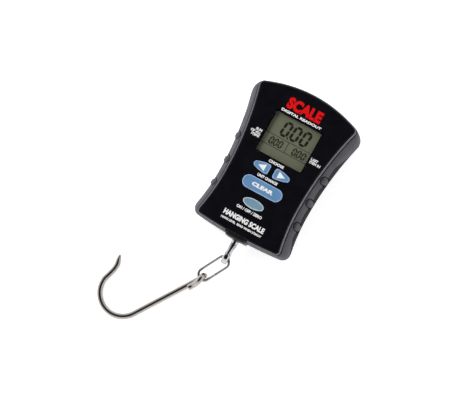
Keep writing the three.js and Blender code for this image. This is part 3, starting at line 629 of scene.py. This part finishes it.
def make_key(node):
    """Key cap with a raised rim, painted lighter as a highlight, round a shallow dish."""
    body, shape, slot, face, rim_highlight = KEYS[node]
    rings = [at_z(shape(grow), z) for z, grow in KEY_LEVELS]
    verts, faces = stack(rings)
    obj = mesh_object(node + "_cap", verts, faces)
    obj.data.materials.append(face)
    obj.data.materials.append(rim_highlight)
    n = len(rings[0])
    for polygon in obj.data.polygons:
        level = min(polygon.vertices) // n
        if len(polygon.vertices) == 4 and RIM_FROM <= level < RIM_TO:
            polygon.material_index = 1
    sharpen(obj, 50)
    settle(obj, body, [node])


for key in KEYS:
    make_key(key)


# -------- case shells

RAYS, COARSE_RAYS, FINE_RAYS = outline_rays(1.1), outline_rays(4), outline_rays(0.42)
NECK_HALF_W, NECK_LOW_Z, NECK_TOP_Z = 8.65, 7.1, 22.7
NECK_IN_Y, CLEAR_OF_END_Y = -50, -62
CUT_LOW_Z, CUT_TOP_Z, CLEAR_TOP_Z = 20, 27, 30  # inside the face plate, and clear above it
REBATE_Z, REBATE, OPENING_RADIUS, REBATE_RADIUS = 23.5, 1.1, 1, 1.6
KEY_GAP = 0.3
FACE_ROLL = 0.4


def neck_cutter(top_z=NECK_TOP_Z):
    return box_object("neck_cutter", (-NECK_HALF_W, CLEAR_OF_END_Y, NECK_LOW_Z),
                      (NECK_HALF_W, NECK_IN_Y, top_z))


def front_cover():
    """Gloss cover: a skirt inside the grip frame and a face plate with a rolled edge."""
    levels = list(SKIRT_FORM)
    _, side, end = SKIRT_FORM[-1]
    for turn in range(15, 91, 15):
        back = FACE_ROLL * (1 - math.cos(turn * DEG))
        z = FACE_Z - FACE_ROLL + FACE_ROLL * math.sin(turn * DEG)
        levels.append([z, side + back, end + back])
    obj = case_loft("front_cover_shell", RAYS, levels)
    hollow = inset(SKIRT_FORM, WALL)
    hollow[0][0] -= 1  # past the open end
    hollow[-1][0] = CEILING_Z
    half_w, half_h = DISPLAY_W / 2, DISPLAY_H / 2
    centre = (0, DISPLAY_Y)
    opening = rounded_rect(half_w, half_h, OPENING_RADIUS, centre)
    rebate = rounded_rect(half_w + REBATE, half_h + REBATE, REBATE_RADIUS, centre)
    cutters = [
        case_loft("hollow", COARSE_RAYS, hollow),
        neck_cutter(),
        prism_object("opening", opening, CUT_LOW_Z, CUT_TOP_Z),
        prism_object("rebate", rebate, REBATE_Z, CUT_TOP_Z),
    ]
    for _, shape, *_ in KEYS.values():
        cutters.append(prism_object("hole", shape(KEY_GAP), CUT_LOW_Z, CUT_TOP_Z))
    carve(obj, cutters)
    sharpen(obj, 40)
    soften(obj, 0.16, 50)
    dress(obj, BLACK, "case", ["front_cover"])


RIB_PITCH, RIB_MID_Y, RIB_HALF = 18.4, -10.4, 2.5
RIB_LOW_Z, RIB_HIGH_Z = 10.4, 21.6
RIB_RISE, RIB_SHOULDER = 0.95, 1.2
RING_DEPTH, RING_AT, RING_HALF = 0.5, 0.42, 0.72  # groove round a rib, measured from its edge
# painted shade in the groove round a rib: its middle and half width, measured from the rib's edge
RING_SHADE_AT, RING_SHADE_HALF = 0.4, 0.45
# sunk band low on the side walls, painted dark as shade; it rises along the middle of the sides
# and dips at the ribs
BAND_DEPTH, BAND_EDGE, BAND_RISE, BAND_DIP, BAND_DIP_HALF = 0.22, 0.5, 8.6, 0.42, 3.6
BAND_FROM_Y, BAND_IN, BAND_TO_Y, BAND_OUT = -50, 12, 34, 14
SIDE_X = 25  # the relief is on the sides only, past this
WALL_LEVELS, MOUTH_LEVELS = 44, 3  # rings on the wall, and rings of the groove above its painted shade
FOOT_RISE, FOOT_INSET, INNER_FOOT, INNER_GAP = 0.25, (0.35, 0.3), (2.9, 1.7), 0.3
PLAIN, IN_GROOVE_SHADE, IN_SHADE_BAND, ON_LIP_HIGHLIGHT = range(4)  # material slots of the grip: plain, painted shade in the grooves, painted shade in the low band, painted highlight on the lip


def grip_relief(x, y, z):
    """Height of the relief on the grip's wall, and the points that get painted shade: in the rings
    round its ribs and in its low band.
    """
    height = np.zeros(len(y))
    groove = np.zeros(len(y), bool)
    dips = np.zeros(len(y))
    for k in (-1, 0, 1):
        dy = y - (RIB_MID_Y + k * RIB_PITCH)
        dz = z - np.clip(z, RIB_LOW_Z + RIB_HALF, RIB_HIGH_Z - RIB_HALF)
        edge = np.hypot(dy, dz) - RIB_HALF
        height += RIB_RISE * ease(np.clip(-edge / RIB_SHOULDER, 0, 1))
        height -= RING_DEPTH * ease(np.clip(1 - np.abs(edge - RING_AT) / RING_HALF, 0, 1))
        # the ring of painted shade in the groove round each rib
        groove |= np.abs(edge - RING_SHADE_AT) < RING_SHADE_HALF
        dips += np.exp(-(dy / BAND_DIP_HALF) ** 2)
    fade = (np.clip((y - BAND_FROM_Y) / BAND_IN, 0, 1)
            * np.clip((BAND_TO_Y - y) / BAND_OUT, 0, 1))
    line = SEAM_Z - BAND_EDGE + BAND_RISE * fade * (1 - BAND_DIP * dips)
    # the wall under this line gets the painted shade
    band = z < line
    height -= BAND_DEPTH * ease(np.clip((line - z) / BAND_EDGE, 0, 1))
    sides = np.abs(x) > SIDE_X
    return height * sides, groove & sides, band & sides


def grip_frame():
    """Rubber frame round the case: ribbed wall, narrow groove, and a lip round the face, with
    painted shade in the groove and low on the wall, and a painted highlight on the lip.
    """
    n = len(FINE_RAYS)
    grid = np.array(case_rings(FINE_RAYS, fine_levels(GRIP_WALL, WALL_LEVELS)))
    along = np.roll(grid, -1, 1) - np.roll(grid, 1, 1)
    normal = np.cross(along, np.gradient(grid, axis=0))
    normal /= np.linalg.norm(normal, axis=2)[:, :, None]
    flat = grid.reshape(-1, 3)
    lift, groove, band = grip_relief(flat[:, 0], flat[:, 1], flat[:, 2])
    grid = grid + normal * lift.reshape(WALL_LEVELS, n, 1)
    grid[0][:, 2] = SEAM_Z + FOOT_RISE
    inner = inset(SKIRT_FORM[1::-1], -INNER_GAP) + [(SEAM_Z, *INNER_FOOT)]
    rings = case_rings(FINE_RAYS, [(SEAM_Z, *FOOT_INSET)]) + list(grid)
    rings += case_rings(FINE_RAYS, GRIP_GROOVE + GRIP_LIP + inner)
    obj = mesh_object("grip_frame_skin", *stack_loop(rings))
    for material in (GRIP, GROOVE_SHADE, SHADE_BAND, LIP_HIGHLIGHT):
        obj.data.materials.append(material)
    kind = np.full(len(obj.data.vertices), PLAIN)
    # faces in the low band get the painted shade
    kind[n: n + len(band)][band] = IN_SHADE_BAND
    # faces in the rings round the ribs get painted shade
    kind[n: n + len(groove)][groove] = IN_GROOVE_SHADE
    top = (1 + WALL_LEVELS) * n
    lip = top + len(GRIP_GROOVE) * n
    # the groove's lower rings get painted shade
    kind[top + MOUTH_LEVELS * n: lip] = IN_GROOVE_SHADE
    # faces of the lip get the painted highlight
    kind[lip: lip + len(GRIP_LIP) * n] = ON_LIP_HIGHLIGHT
    for polygon in obj.data.polygons:
        kinds = [kind[v] for v in polygon.vertices]
        polygon.material_index = max(set(kinds), key=kinds.count)
    carve(obj, [neck_cutter(CLEAR_TOP_Z)])
    sharpen(obj, 55)
    settle(obj, "case", ["grip_frame"])


CASE_SCREWS = [(-28.5, 45), (28.5, 45), (-24, -46), (24, -46)]
BACK_EDGE_Z = 8.75
BACK_RIM = [[9, 0.3, 0.25], [9, 3.2, 2], [12.1, 3.2, 2]]
BACK_HOLLOW = [[FLOOR_Z, 3.7 + WALL, 3.1], [5.5, 2.2, 2.1], [9, 5, 3.8], [13, 5, 3.8]]
# boxes by their lowest and highest corners
GUIDE, BAY = ((-15.3, -8, 0.6), (15.3, 52.2, 3.2)), ((-13.1, -5, 1), (13.1, 49.4, 15))
DOOR_OPENING, TONGUE_SLOT = ((-12.3, -6.3, -1), (12.3, 62, 2)), ((-13.9, -6.3, 0.6), (13.9, 62, 2))
BATTERY_ROOM = ((-11.7, -3.6, 0), (11.7, 48, 13.6))
# turned profiles: radius, height
SCREW_PAD = [(0, 0.4), (4.6, 0.4), (4.6, 4.5), (0, 4.5)]
SCREW_WELL = [(0, -1), (3.4, -1), (3.4, 0), (3.1, 0.3), (3.1, 3.3), (1.7, 3.3), (1.7, 9), (0, 9)]


def back_cover():
    """Tray with the battery bay, the door's guides and the screw wells."""
    levels = [row.tolist() for row in fine_levels(BACK_FORM, 16)]
    levels[-1][0] = BACK_EDGE_Z
    obj = case_loft("back_cover_shell", RAYS, levels + BACK_RIM)
    carve(obj, [case_loft("hollow", COARSE_RAYS, BACK_HOLLOW)])
    joined = [box_object("guide", *GUIDE), box_object("bay", *BAY)]
    cutters = []
    for x, y in CASE_SCREWS:
        joined.append(lathe_object("pad", SCREW_PAD, (x, y, 0)))
        cutters.append(lathe_object("well", SCREW_WELL, (x, y, 0)))
    carve(obj, joined, "UNION")
    cutters += [box_object("door_opening", *DOOR_OPENING), box_object("tongue_slot", *TONGUE_SLOT),
                box_object("battery_room", *BATTERY_ROOM), neck_cutter()]
    carve(obj, cutters)
    sharpen(obj, 40)
    soften(obj, 0.15, 50)
    dress(obj, BACK, "case", ["back_cover"])


front_cover()
grip_frame()
back_cover()


# -------- window and display

PANE_HALF_W, PANE_HALF_H, PANE_RADIUS = 18.5, 16.25, 1.3


def display_window():
    low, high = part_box("display_window")
    shape = rounded_rect(PANE_HALF_W, PANE_HALF_H, PANE_RADIUS, (0, DISPLAY_Y))
    obj = prism_object("display_pane", shape, low.z / MM, high.z / MM)
    soften(obj, 0.15)
    dress(obj, CLEAR, "case", ["display_window"])


def plates(name, polygons, z, thickness, material, body="case"):
    """Thin plates, such as ink or display segments, on one level."""
    verts, faces = [], []
    for points in polygons:
        new_verts, new_faces = stack([at_z(points, z), at_z(points, z + thickness)])
        faces += [tuple(i + len(verts) for i in face) for face in new_faces]
        verts += list(new_verts)
    obj = mesh_object(name, verts, faces, smooth=False)
    dress(obj, material, body)


LEAN = math.tan(6 * DEG)
BAR_GAP = 0.16  # gap between a digit's bars, as a share of their width


def zero_digit(x, y, width, height, stroke):
    """The six bars of a seven-bar zero, centred at x, y and leaning a little."""
    w, h, nib, gap = width / 2, height / 2, stroke / 2, stroke * BAR_GAP

    def upright(cx, low, high):
        return [(cx, low), (cx + nib, low + nib), (cx + nib, high - nib), (cx, high),
                (cx - nib, high - nib), (cx - nib, low + nib)]

    def level(cy, left, right):
        return [(left, cy), (left + nib, cy - nib), (right - nib, cy - nib), (right, cy),
                (right - nib, cy + nib), (left + nib, cy + nib)]

    bars = [level(cy, -w + nib + gap, w - nib - gap) for cy in (h - nib, -h + nib)]
    for cx in (-w + nib, w - nib):
        bars.append(upright(cx, gap / 2, h - nib - gap))
        bars.append(upright(cx, -h + nib + gap, -gap / 2))
    return [[(x + px + py * LEAN, y + py) for px, py in bar] for bar in bars]


def stripe(x0, y0, x1, y1):
    return [(x0, y0), (x1, y0), (x1, y1), (x0, y1)]


# a zero: y, width, height, stroke; a point: x, y, half width, half height
LARGE_X, LARGE_ZERO = (-5.75, 1.7, 9.15), (27.05, 6.0, 11.3, 1.56)
LARGE_POINT = (-2.45, 21.95, 0.6, 0.6)
SMALL_ZERO = (15.7, 2.95, 5.5, 0.85)
# the two small groups: left ends, and from there the first zero, the pitch and the point
SMALL_LEFT, SMALL_FIRST, SMALL_STEP, SMALL_POINT_X = (-13.1, 5.0), 1.55, 3.55, 3.15
SMALL_POINT = (13.2, 0.33, 0.33)
RULES_Y, RULE_W, RULE_PAST, DIVIDER_X, DIVIDER_Y = (19.75, 11.8), 0.27, 0.6, 0.1, (11.9, 19.9)


def readout():
    """Reading 0.00 large above, and twice small below, with dividing lines."""
    shapes = []
    for x in LARGE_X:
        shapes += zero_digit(x, *LARGE_ZERO)
    shapes.append(ellipse(*LARGE_POINT, 20))
    for left in SMALL_LEFT:
        for k in range(3):
            shapes += zero_digit(left + SMALL_FIRST + k * SMALL_STEP, *SMALL_ZERO)
        shapes.append(ellipse(left + SMALL_POINT_X, *SMALL_POINT, 20))
    half = DISPLAY_W / 2
    for low in RULES_Y:
        shapes.append(stripe(-half - RULE_PAST, low, half, low + RULE_W))
    shapes.append(stripe(DIVIDER_X, DIVIDER_Y[0], DIVIDER_X + RULE_W, DIVIDER_Y[1]))
    return shapes


LOWER_GLASS_T, UPPER_GLASS_Z, LEDGE = 0.85, 0.9, 0.8  # the upper glass leaves a ledge below it
GLASS_RADIUS, SUNK = 0.4, 0.03
# shift and thickness of the reading's painted shadow, then the reading's height and thickness
SHADE_SHIFT, SHADE_T, READING_Z, READING_T = (0.32, -0.22), 0.008, 0.01, 0.012


def lcd_panel():
    """Two plates of display glass with their film, and on top the reading and a painted shadow of
    it.
    """
    low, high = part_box("lcd_panel")
    w, h = high.x / MM, (high.y - low.y) / MM / 2
    foot, top = low.z / MM, high.z / MM - SUNK
    lower = rounded_rect(w, h, GLASS_RADIUS, (0, DISPLAY_Y))
    upper = rounded_rect(w, h - LEDGE, GLASS_RADIUS, (0, DISPLAY_Y + LEDGE))
    plate = prism_object("lcd_lower_glass", lower, foot, foot + LOWER_GLASS_T)
    dress(soften(plate, 0.08), FILM, "case")
    plate = prism_object("lcd_upper_glass", upper, foot + UPPER_GLASS_Z, top)
    dress(soften(plate, 0.08), FILM, "case", ["lcd_panel"])
    shapes = readout()
    # a shifted copy of the reading as its painted shadow
    shade = [np.asarray(shape, float) + SHADE_SHIFT for shape in shapes]
    plates("lcd_reading_painted_shadow", shade, top, SHADE_T, SEGMENT_SHADOW)
    plates("lcd_reading", shapes, top + READING_Z, READING_T, SEGMENT)


display_window()
lcd_panel()


# -------- printing

LETTER_T, LETTER_DEPTH, LINE_SPACE, PRINT_Z = 0.02, 0.005, 0.95, 0.003
KEY_FACE_Z = 25.56
MARK_TIP, MARK_FOOT, MARK_HALF = 10.5, 5.1, 2.5

# name, generic words, centre, width, height, and where it differs, stroke weight and alignment
PRINTS = [
    ("print_title", "SCALE", (-0.5, 44.4), 26.4, 8.6, 0.06),
    ("print_subtitle", "DIGITAL READOUT", (0.2, 37.9), 31.0, 1.9),
    ("print_left", "SUM\nOF ALL\nITEMS", (-23.4, 15.4), 7.8, 6.2, 0.045, "RIGHT"),
    ("print_right", "LAST\nITEM IN", (23.7, 15.5), 8.2, 4.1, 0.045, "LEFT"),
    ("print_choose", "CHOOSE", (0.3, 2.0), 11.6, 2.0),
    ("print_units", "UNIT CHANGE", (0.0, -10.2), 15.6, 2.1),
    ("print_power", "ON / OFF / ZERO", (0.0, -35.9), 19.6, 2.1),
    ("print_kind", "HANGING SCALE", (0, -43.2), 31.5, 3.9, 0.05),
    ("print_small", "HANG LEVEL  READ WHEN STEADY", (0, -47.45), 31.5, 1.6),
]
CLEAR_PRINT = ("key_clear_word", "CLEAR", (0.3, PILL["y"]), 16.4, 2.9, 0.06)


def lettering(name, words, centre, width, height, weight=0.045, align="CENTER", *, z, material):
    """Flat letters fitted to a width and a height."""
    curve = bpy.data.curves.new(name, "FONT")
    curve.body = words
    curve.align_x = align
    curve.offset = weight
    curve.space_line = LINE_SPACE
    curve.resolution_u = 4
    curve.extrude = LETTER_DEPTH
    source = bpy.data.objects.new(name, curve)
    bpy.context.scene.collection.objects.link(source)
    mesh = bpy.data.meshes.new_from_object(
        source.evaluated_get(bpy.context.evaluated_depsgraph_get()))
    bpy.data.objects.remove(source)
    co = np.array([v.co for v in mesh.vertices])
    low, high = co.min(0), co.max(0)
    middle = (low + high) / 2
    size = high - low
    for v, p in zip(mesh.vertices, co):
        v.co = ((centre[0] + (p[0] - middle[0]) * width / size[0]) * MM,
                (centre[1] + (p[1] - middle[1]) * height / size[1]) * MM,
                (z + LETTER_T * (p[2] - low[2]) / size[2]) * MM)
    mesh.name = name
    obj = bpy.data.objects.new(name, mesh)
    bpy.context.scene.collection.objects.link(obj)
    obj.data.materials.append(material)
    return obj


def printing():
    for row in PRINTS:
        colour = RED_INK if row[0] == "print_title" else WHITE_INK
        word = lettering(*row, z=FACE_Z + PRINT_Z, material=colour)
        settle(word, "case")
    word = lettering(*CLEAR_PRINT, z=KEY_FACE_Z, material=WHITE_INK)
    settle(word, "clear_key")
    y = ARROW["y"]
    for node, side in (("key_previous", -1), ("key_next", 1)):
        mark = [(side * MARK_TIP, y), (side * MARK_FOOT, y + MARK_HALF),
                (side * MARK_FOOT, y - MARK_HALF)]
        plates(node + "_mark", [mark[::-1] if side < 0 else mark], KEY_FACE_Z, LETTER_T,
               WHITE_INK, KEYS[node][0])


printing()


# -------- neck, rod, link and hook

COLLAR_HALF_W, COLLAR_LOW_Z, COLLAR_BORE_R = 8.35, 7.4, 2.95
HEAD_TOP_Z, HEAD_RADIUS, NOSE_Y, NOSE_ROLL = 24.2, 2.8, -55.5, 1.8
# rings of the collar: y, growth, top, corner radius
COLLAR_BODY = [(-49.5, 1.4, 22.4, 2), (-50.8, 1.4, 22.4, 2), (-50.8, 0, 22.4, 1.5),
               (-54.05, 0, 22.4, 1.5), (-54.1, 0, HEAD_TOP_Z, 2.6)]
COLLAR_END = [(-57.3, -3.0, 21.2, 1.5), (-57.15, -3.2, 21, 1.3)]


def neck_collar():
    """Boss in the lower end of the case: a flange, a body and a tall head with a round nose."""
    levels = list(COLLAR_BODY)
    for turn in range(0, 91, 15):
        back = NOSE_ROLL * (1 - math.cos(turn * DEG))
        levels.append((NOSE_Y - NOSE_ROLL * math.sin(turn * DEG), -back, HEAD_TOP_Z - back,
                       HEAD_RADIUS))
    rings = []
    for y, grow, top, radius in levels + COLLAR_END:
        low = COLLAR_LOW_Z - grow
        centre = (0, (top + low) / 2)
        rings.append(at_y(rounded_rect(COLLAR_HALF_W + grow, (top - low) / 2, radius, centre), y))
    obj = mesh_object("neck_bushing", *stack(rings))
    bore = [(COLLAR_BORE_R, -62), (COLLAR_BORE_R, -40)]
    carve(obj, [lathe_object("bore", bore, (0, 0, AXIS_Z), "Y")])
    sharpen(obj, 40)
    soften(obj, 0.2, 45)
    dress(obj, COLLAR, "case", ["neck_collar"])


def outward(obj):
    """Faces of a closed mesh turned outward."""
    bm = bmesh.new()
    bm.from_mesh(obj.data)
    bmesh.ops.recalc_face_normals(bm, faces=bm.faces)
    bm.to_mesh(obj.data)
    bm.free()
    return obj


ROD_R, ROD_EYE_HOLE_R, ROD_EYE_R, ROD_EYE_HALF_W = 2.6, 2.6, 5.2, 2.2
EYE_CLEAR_R, SQUARENESS = 3.9, 0.85
# rings of the shoulder: distance from the eye, half width, half height
SHOULDER = [(10.6, 2.59, 2.61), (9, 2.53, 2.88), (7.4, 2.4, 3.3), (5.4, 2.24, 3.86),
            (3.4, 2.2, 4.42), (1, 2.2, 5.08)]


def rod_eye():
    """Ring about the X axis with an oval section."""
    mid, reach = (ROD_EYE_HOLE_R + ROD_EYE_R) / 2, (ROD_EYE_R - ROD_EYE_HOLE_R) / 2
    rings = []
    for turn in full_turn(32):
        c, s = math.cos(turn), math.sin(turn)
        r = mid + reach * math.copysign(abs(c) ** SQUARENESS, c)
        x = ROD_EYE_HALF_W * math.copysign(abs(s) ** SQUARENESS, s)
        circle = ellipse(ROD_EYE.y, AXIS_Z, r, r, 96)
        rings.append(np.column_stack([np.full(len(circle), x), circle]))
    return outward(mesh_object("eye", *stack_loop(rings)))


def hook_rod():
    """Chromed rod that swells and flattens into a drilled eye."""
    y = ROD_EYE.y
    rings = [at_y(rounded_rect(half_w, half_h, 0.86 * half_w, (0, AXIS_Z), 14), y + away)
             for away, half_w, half_h in SHOULDER]
    obj = outward(mesh_object("eye_rod", *stack(rings)))
    clear = [(EYE_CLEAR_R, -6), (EYE_CLEAR_R, 6)]
    carve(obj, [lathe_object("clear", clear, (0, y, AXIS_Z), "X", 96)])
    shaft = [(2.45, y + 10.2), (ROD_R, y + 10.6), (ROD_R, -40.2), (2.4, -40), (1.95, -40),
             (1.95, -35.3), (1.5, -34.8)]
    carve(obj, [lathe_object("shaft", shaft, (0, 0, AXIS_Z), "Y", 64), rod_eye()], "UNION")
    obj.data.shade_smooth()
    sharpen(obj, 50)
    dress(obj, CHROME, "swivel_rod", ["hook_rod"])


LINK_WIRE, LINK_BOW, LINK_STRAIGHT = 1.0, 4.3, 16.5
LINK_YAW, LINK_PITCH, LINK_IN_ROD_EYE = 30.5, 14.6, 24
WELD_AT, WELD_HALF, WELD_RISE, WELD_ROUGH = 1.0, 0.55, 0.14, 0.012
HOOK_YAW = 33.2


def heading(yaw, pitch):
    """Direction away from the case, turned aside by yaw and down by pitch."""
    return Vector((-math.sin(yaw * DEG) * math.cos(pitch * DEG),
                   -math.cos(yaw * DEG) * math.cos(pitch * DEG), -math.sin(pitch * DEG)))


def across(yaw):
    """Level direction square to the heading."""
    return Vector((math.cos(yaw * DEG), -math.sin(yaw * DEG), 0))


def chain_link():
    """Welded oval ring of round wire, with the weld on one straight side."""
    along, side = heading(LINK_YAW, LINK_PITCH), across(LINK_YAW)
    turn, half = LINK_IN_ROD_EYE * DEG, LINK_STRAIGHT / 2
    near = ROD_EYE + along * LINK_BOW * math.cos(turn) + side * LINK_BOW * math.sin(turn)
    middle = near + along * half
    flat = []
    for start, end in ((0, half), (180, -half)):
        for a in np.linspace(start, start + 180, 37):
            flat.append((LINK_BOW * math.cos(a * DEG), end + LINK_BOW * math.sin(a * DEG)))
        for t in np.linspace(end, -end, 42)[1:-1]:
            flat.append((-math.copysign(LINK_BOW, end), t))
    flat = np.array(flat)
    points = [middle + side * x + along * y for x, y in flat]
    welded_side = flat[:, 0] > LINK_BOW - LINK_WIRE / 2
    bead = np.exp(-((flat[:, 1] - WELD_AT) / WELD_HALF) ** 2) * welded_side
    uneven = WELD_ROUGH * np.sin(flat[:, 1] * 5) * (bead > 0.02)
    verts, faces = tube(points, LINK_WIRE * (1 + WELD_RISE * bead) + uneven, 28, True,
                        side.cross(along))
    obj = mesh_object("chain_ring", verts, faces)
    dress(obj, LINK_CHROME, "chain_link", ["link"])


HOOK_WIRE, HOOK_EYE_R, HOOK_SHANK, HOOK_BEND, HOOK_TAIL = 2.1, 4.1, 53.1, 16.7, 9.7
HOOK_TAIL_ASIDE, HOOK_TAIL_GAP, LEAN_TO, LEAN_OVER = 2.3, 0.15, 150, 105
POINT_WIRE, POINT_LENGTH, POINT_POWER = 0.85, 7, 0.85
POINT_ROUTE = [(55.8, -33.1), (51.3, -34.6), (48, -36.4), (46.2, -38.2), (44.5, -40.1),
               (42.95, -41.65)]


def hook():
    """Round wire: an eye bent back on the shank, a wide bend and a flared, drawn-out point."""
    low, aside = -HOOK_EYE_R, HOOK_TAIL_ASIDE
    tail_z = low + math.sqrt((2 * HOOK_WIRE + HOOK_TAIL_GAP) ** 2 - aside ** 2)
    route = [(HOOK_TAIL, aside, tail_z), (HOOK_TAIL - 2.2, aside, tail_z), (5, aside, tail_z + 1)]
    for turn in range(60, 271, 15):  # the eye, which leans aside over part of its turn
        lean = aside * ease(min(max((LEAN_TO - turn) / LEAN_OVER, 0), 1))
        route.append((HOOK_EYE_R * math.cos(turn * DEG), lean, HOOK_EYE_R * math.sin(turn * DEG)))
    route += [(x, 0, low) for x in range(6, int(HOOK_SHANK), 8)]
    for turn in range(-90, 67, 6):
        route.append((HOOK_SHANK + HOOK_BEND * math.cos(turn * DEG),
                      -HOOK_BEND * (1 + math.sin(turn * DEG)), low))
    route += [(x, y, low) for x, y in POINT_ROUTE]
    points = through(route, 0.7)
    gone = np.concatenate([[0], np.cumsum(np.linalg.norm(np.diff(points, axis=0), axis=1))])
    taper = np.sin(np.clip((gone[-1] - gone) / POINT_LENGTH, 0, 1) * math.pi / 2)
    radii = POINT_WIRE + (HOOK_WIRE - POINT_WIRE) * taper ** POINT_POWER
    verts, faces = tube(points, radii, 32, False, (0, 1, 0))
    along = heading(HOOK_YAW, 0)
    basis = np.array([along, Vector((0, 0, 1)).cross(along), (0, 0, 1)], float)
    obj = mesh_object("hook_wire", verts @ basis + np.array(HOOK_EYE), faces)
    dress(obj, HOOK_STEEL, "scale_hook", ["hook"])


neck_collar()
hook_rod()
chain_link()
hook()


# -------- carried-over CAD pieces

# node: material, width of its rounded edges
CARRIED = {
    "battery_door": (BACK, 0.2), "lcd_connector": (RUBBER, 0.1), "circuit_board": (GREEN, 0.1),
    "keypad_membrane": (RUBBER, 0.12), "load_cell": (ALUMINIUM, 0.3),
    "anchor_bracket": (STEEL, 0.2), "anchor_bolt": (STEEL, 0.25), "load_cell_wires": (RUBBER, 0),
    "rod_washer": (STEEL, 0.12), "rod_nut": (BRASS, 0.25), "bridge_contact": (STEEL, 0.1),
}
for side in ("_left", "_right"):
    CARRIED["battery" + side] = (JACKET, 0.2)
    CARRIED["contact_spring" + side] = (STEEL, 0)
    CARRIED["terminal" + side] = (STEEL, 0.1)
for name in frame["nodes"]:
    if "screw" in name:
        CARRIED[name] = (STEEL, 0.12)
for name, (material, edge) in CARRIED.items():
    obj = frame["nodes"][name]
    obj.data.materials.clear()
    obj.data.materials.append(material)
    if edge:
        soften(obj, edge, 32)


# -------- studio and camera

FLOOR_SIDE, FLOOR_CELLS, FLOOR_DROP, FLOOR_GLOW = 3000, 24, 0.05, 0.58
KEY_PLACE, KEY_SIDE, KEY_POWER = (-0.8, 0.22, 0.85), 0.34, 9
SKY_STRENGTH = 1.3
SKY_STOPS = ((0.72, 1.0), (0.77, 0.03), (0.84, 0.01))  # height, and grey there


def floor():
    """White paper that glows a little, as an overexposed sweep does."""
    n = FLOOR_CELLS
    spots = (np.arange(n + 1) / n - 0.5) * FLOOR_SIDE
    verts = [(x, y, -FLOOR_DROP) for y in spots for x in spots]
    faces = [(a, a + 1, a + n + 2, a + n + 1)
             for row in range(n) for a in range(row * (n + 1), row * (n + 1) + n)]
    obj = mesh_object("studio_floor", verts, faces)
    s = Shader("floor_paper", (0.93, 0.93, 0.935), 0.85, Emission_Color=(1, 1, 1, 1),
               Emission_Strength=FLOOR_GLOW)
    s.vary_colour(s.noise(400, 2), (0.95, 0.95, 0.95))
    s.add_bump(s.noise(1.5, 3), 0.01, 0.3)
    obj.data.materials.append(s.material)


def softbox():
    """Key light at the upper left, which the gloss and the chrome do not show."""
    light = bpy.data.lights.new("key", "AREA")
    light.shape = "RECTANGLE"
    light.size, light.size_y = KEY_SIDE, KEY_SIDE
    light.energy = KEY_POWER
    obj = bpy.data.objects.new("key", light)
    obj.location = KEY_PLACE
    obj.rotation_euler = (-Vector(KEY_PLACE)).to_track_quat("-Z", "Y").to_euler()
    obj.visible_glossy = False
    bpy.context.scene.collection.objects.link(obj)


def sky():
    """White round the horizon and darker overhead, which the gloss and chrome reflect."""
    world = bpy.data.worlds.new("studio")
    world.use_nodes = True
    nodes, links = world.node_tree.nodes, world.node_tree.links
    place = add_node(nodes, "TexCoord")
    split = add_node(nodes, "SeparateXYZ")
    ramp = add_node(nodes, "ValToRGB")
    stops = ramp.color_ramp.elements
    stops[0].position, stops[0].color = 0.0, (1.0, 1.0, 1.0, 1)
    stops[1].position, stops[1].color = 1.0, (0.012, 0.012, 0.015, 1)
    for position, shade in SKY_STOPS:
        stop = stops.new(position)
        stop.color = (shade, shade, shade * 1.01, 1)
    links.new(place.outputs["Generated"], split.inputs["Vector"])
    links.new(split.outputs["Z"], ramp.inputs["Fac"])
    links.new(ramp.outputs["Color"], nodes["Background"].inputs["Color"])
    set_inputs(nodes["Background"], Strength=SKY_STRENGTH)
    bpy.context.scene.world = world


CAMERA_TURN, CAMERA_AIM, CAMERA_BACK = 29.4, (-15.3, -35.8, 25), (0.155, -0.07, 1)
CAMERA_DISTANCE, PIXELS_PER_MM, IMAGE_WIDTH = 0.9, 1.45, 460


def camera():
    """Nearly overhead, with the case turned as the picture shows it."""
    turn = CAMERA_TURN * DEG
    back = Vector(CAMERA_BACK).normalized()
    up = Vector((-math.sin(turn), math.cos(turn), 0))
    up = (up - back * up.dot(back)).normalized()
    right = up.cross(back)
    data = bpy.data.cameras.new("camera")
    data.sensor_width = 36
    data.lens = PIXELS_PER_MM * CAMERA_DISTANCE / MM * data.sensor_width / IMAGE_WIDTH
    obj = bpy.data.objects.new("camera", data)
    pose = Matrix((right, up, back)).transposed().to_4x4()
    pose.translation = Vector(CAMERA_AIM) * MM + back * CAMERA_DISTANCE
    obj.matrix_world = pose
    bpy.context.scene.collection.objects.link(obj)
    bpy.context.scene.camera = obj


floor()
sky()
softbox()
camera()
bpy.context.scene.view_settings.view_transform = "Standard"
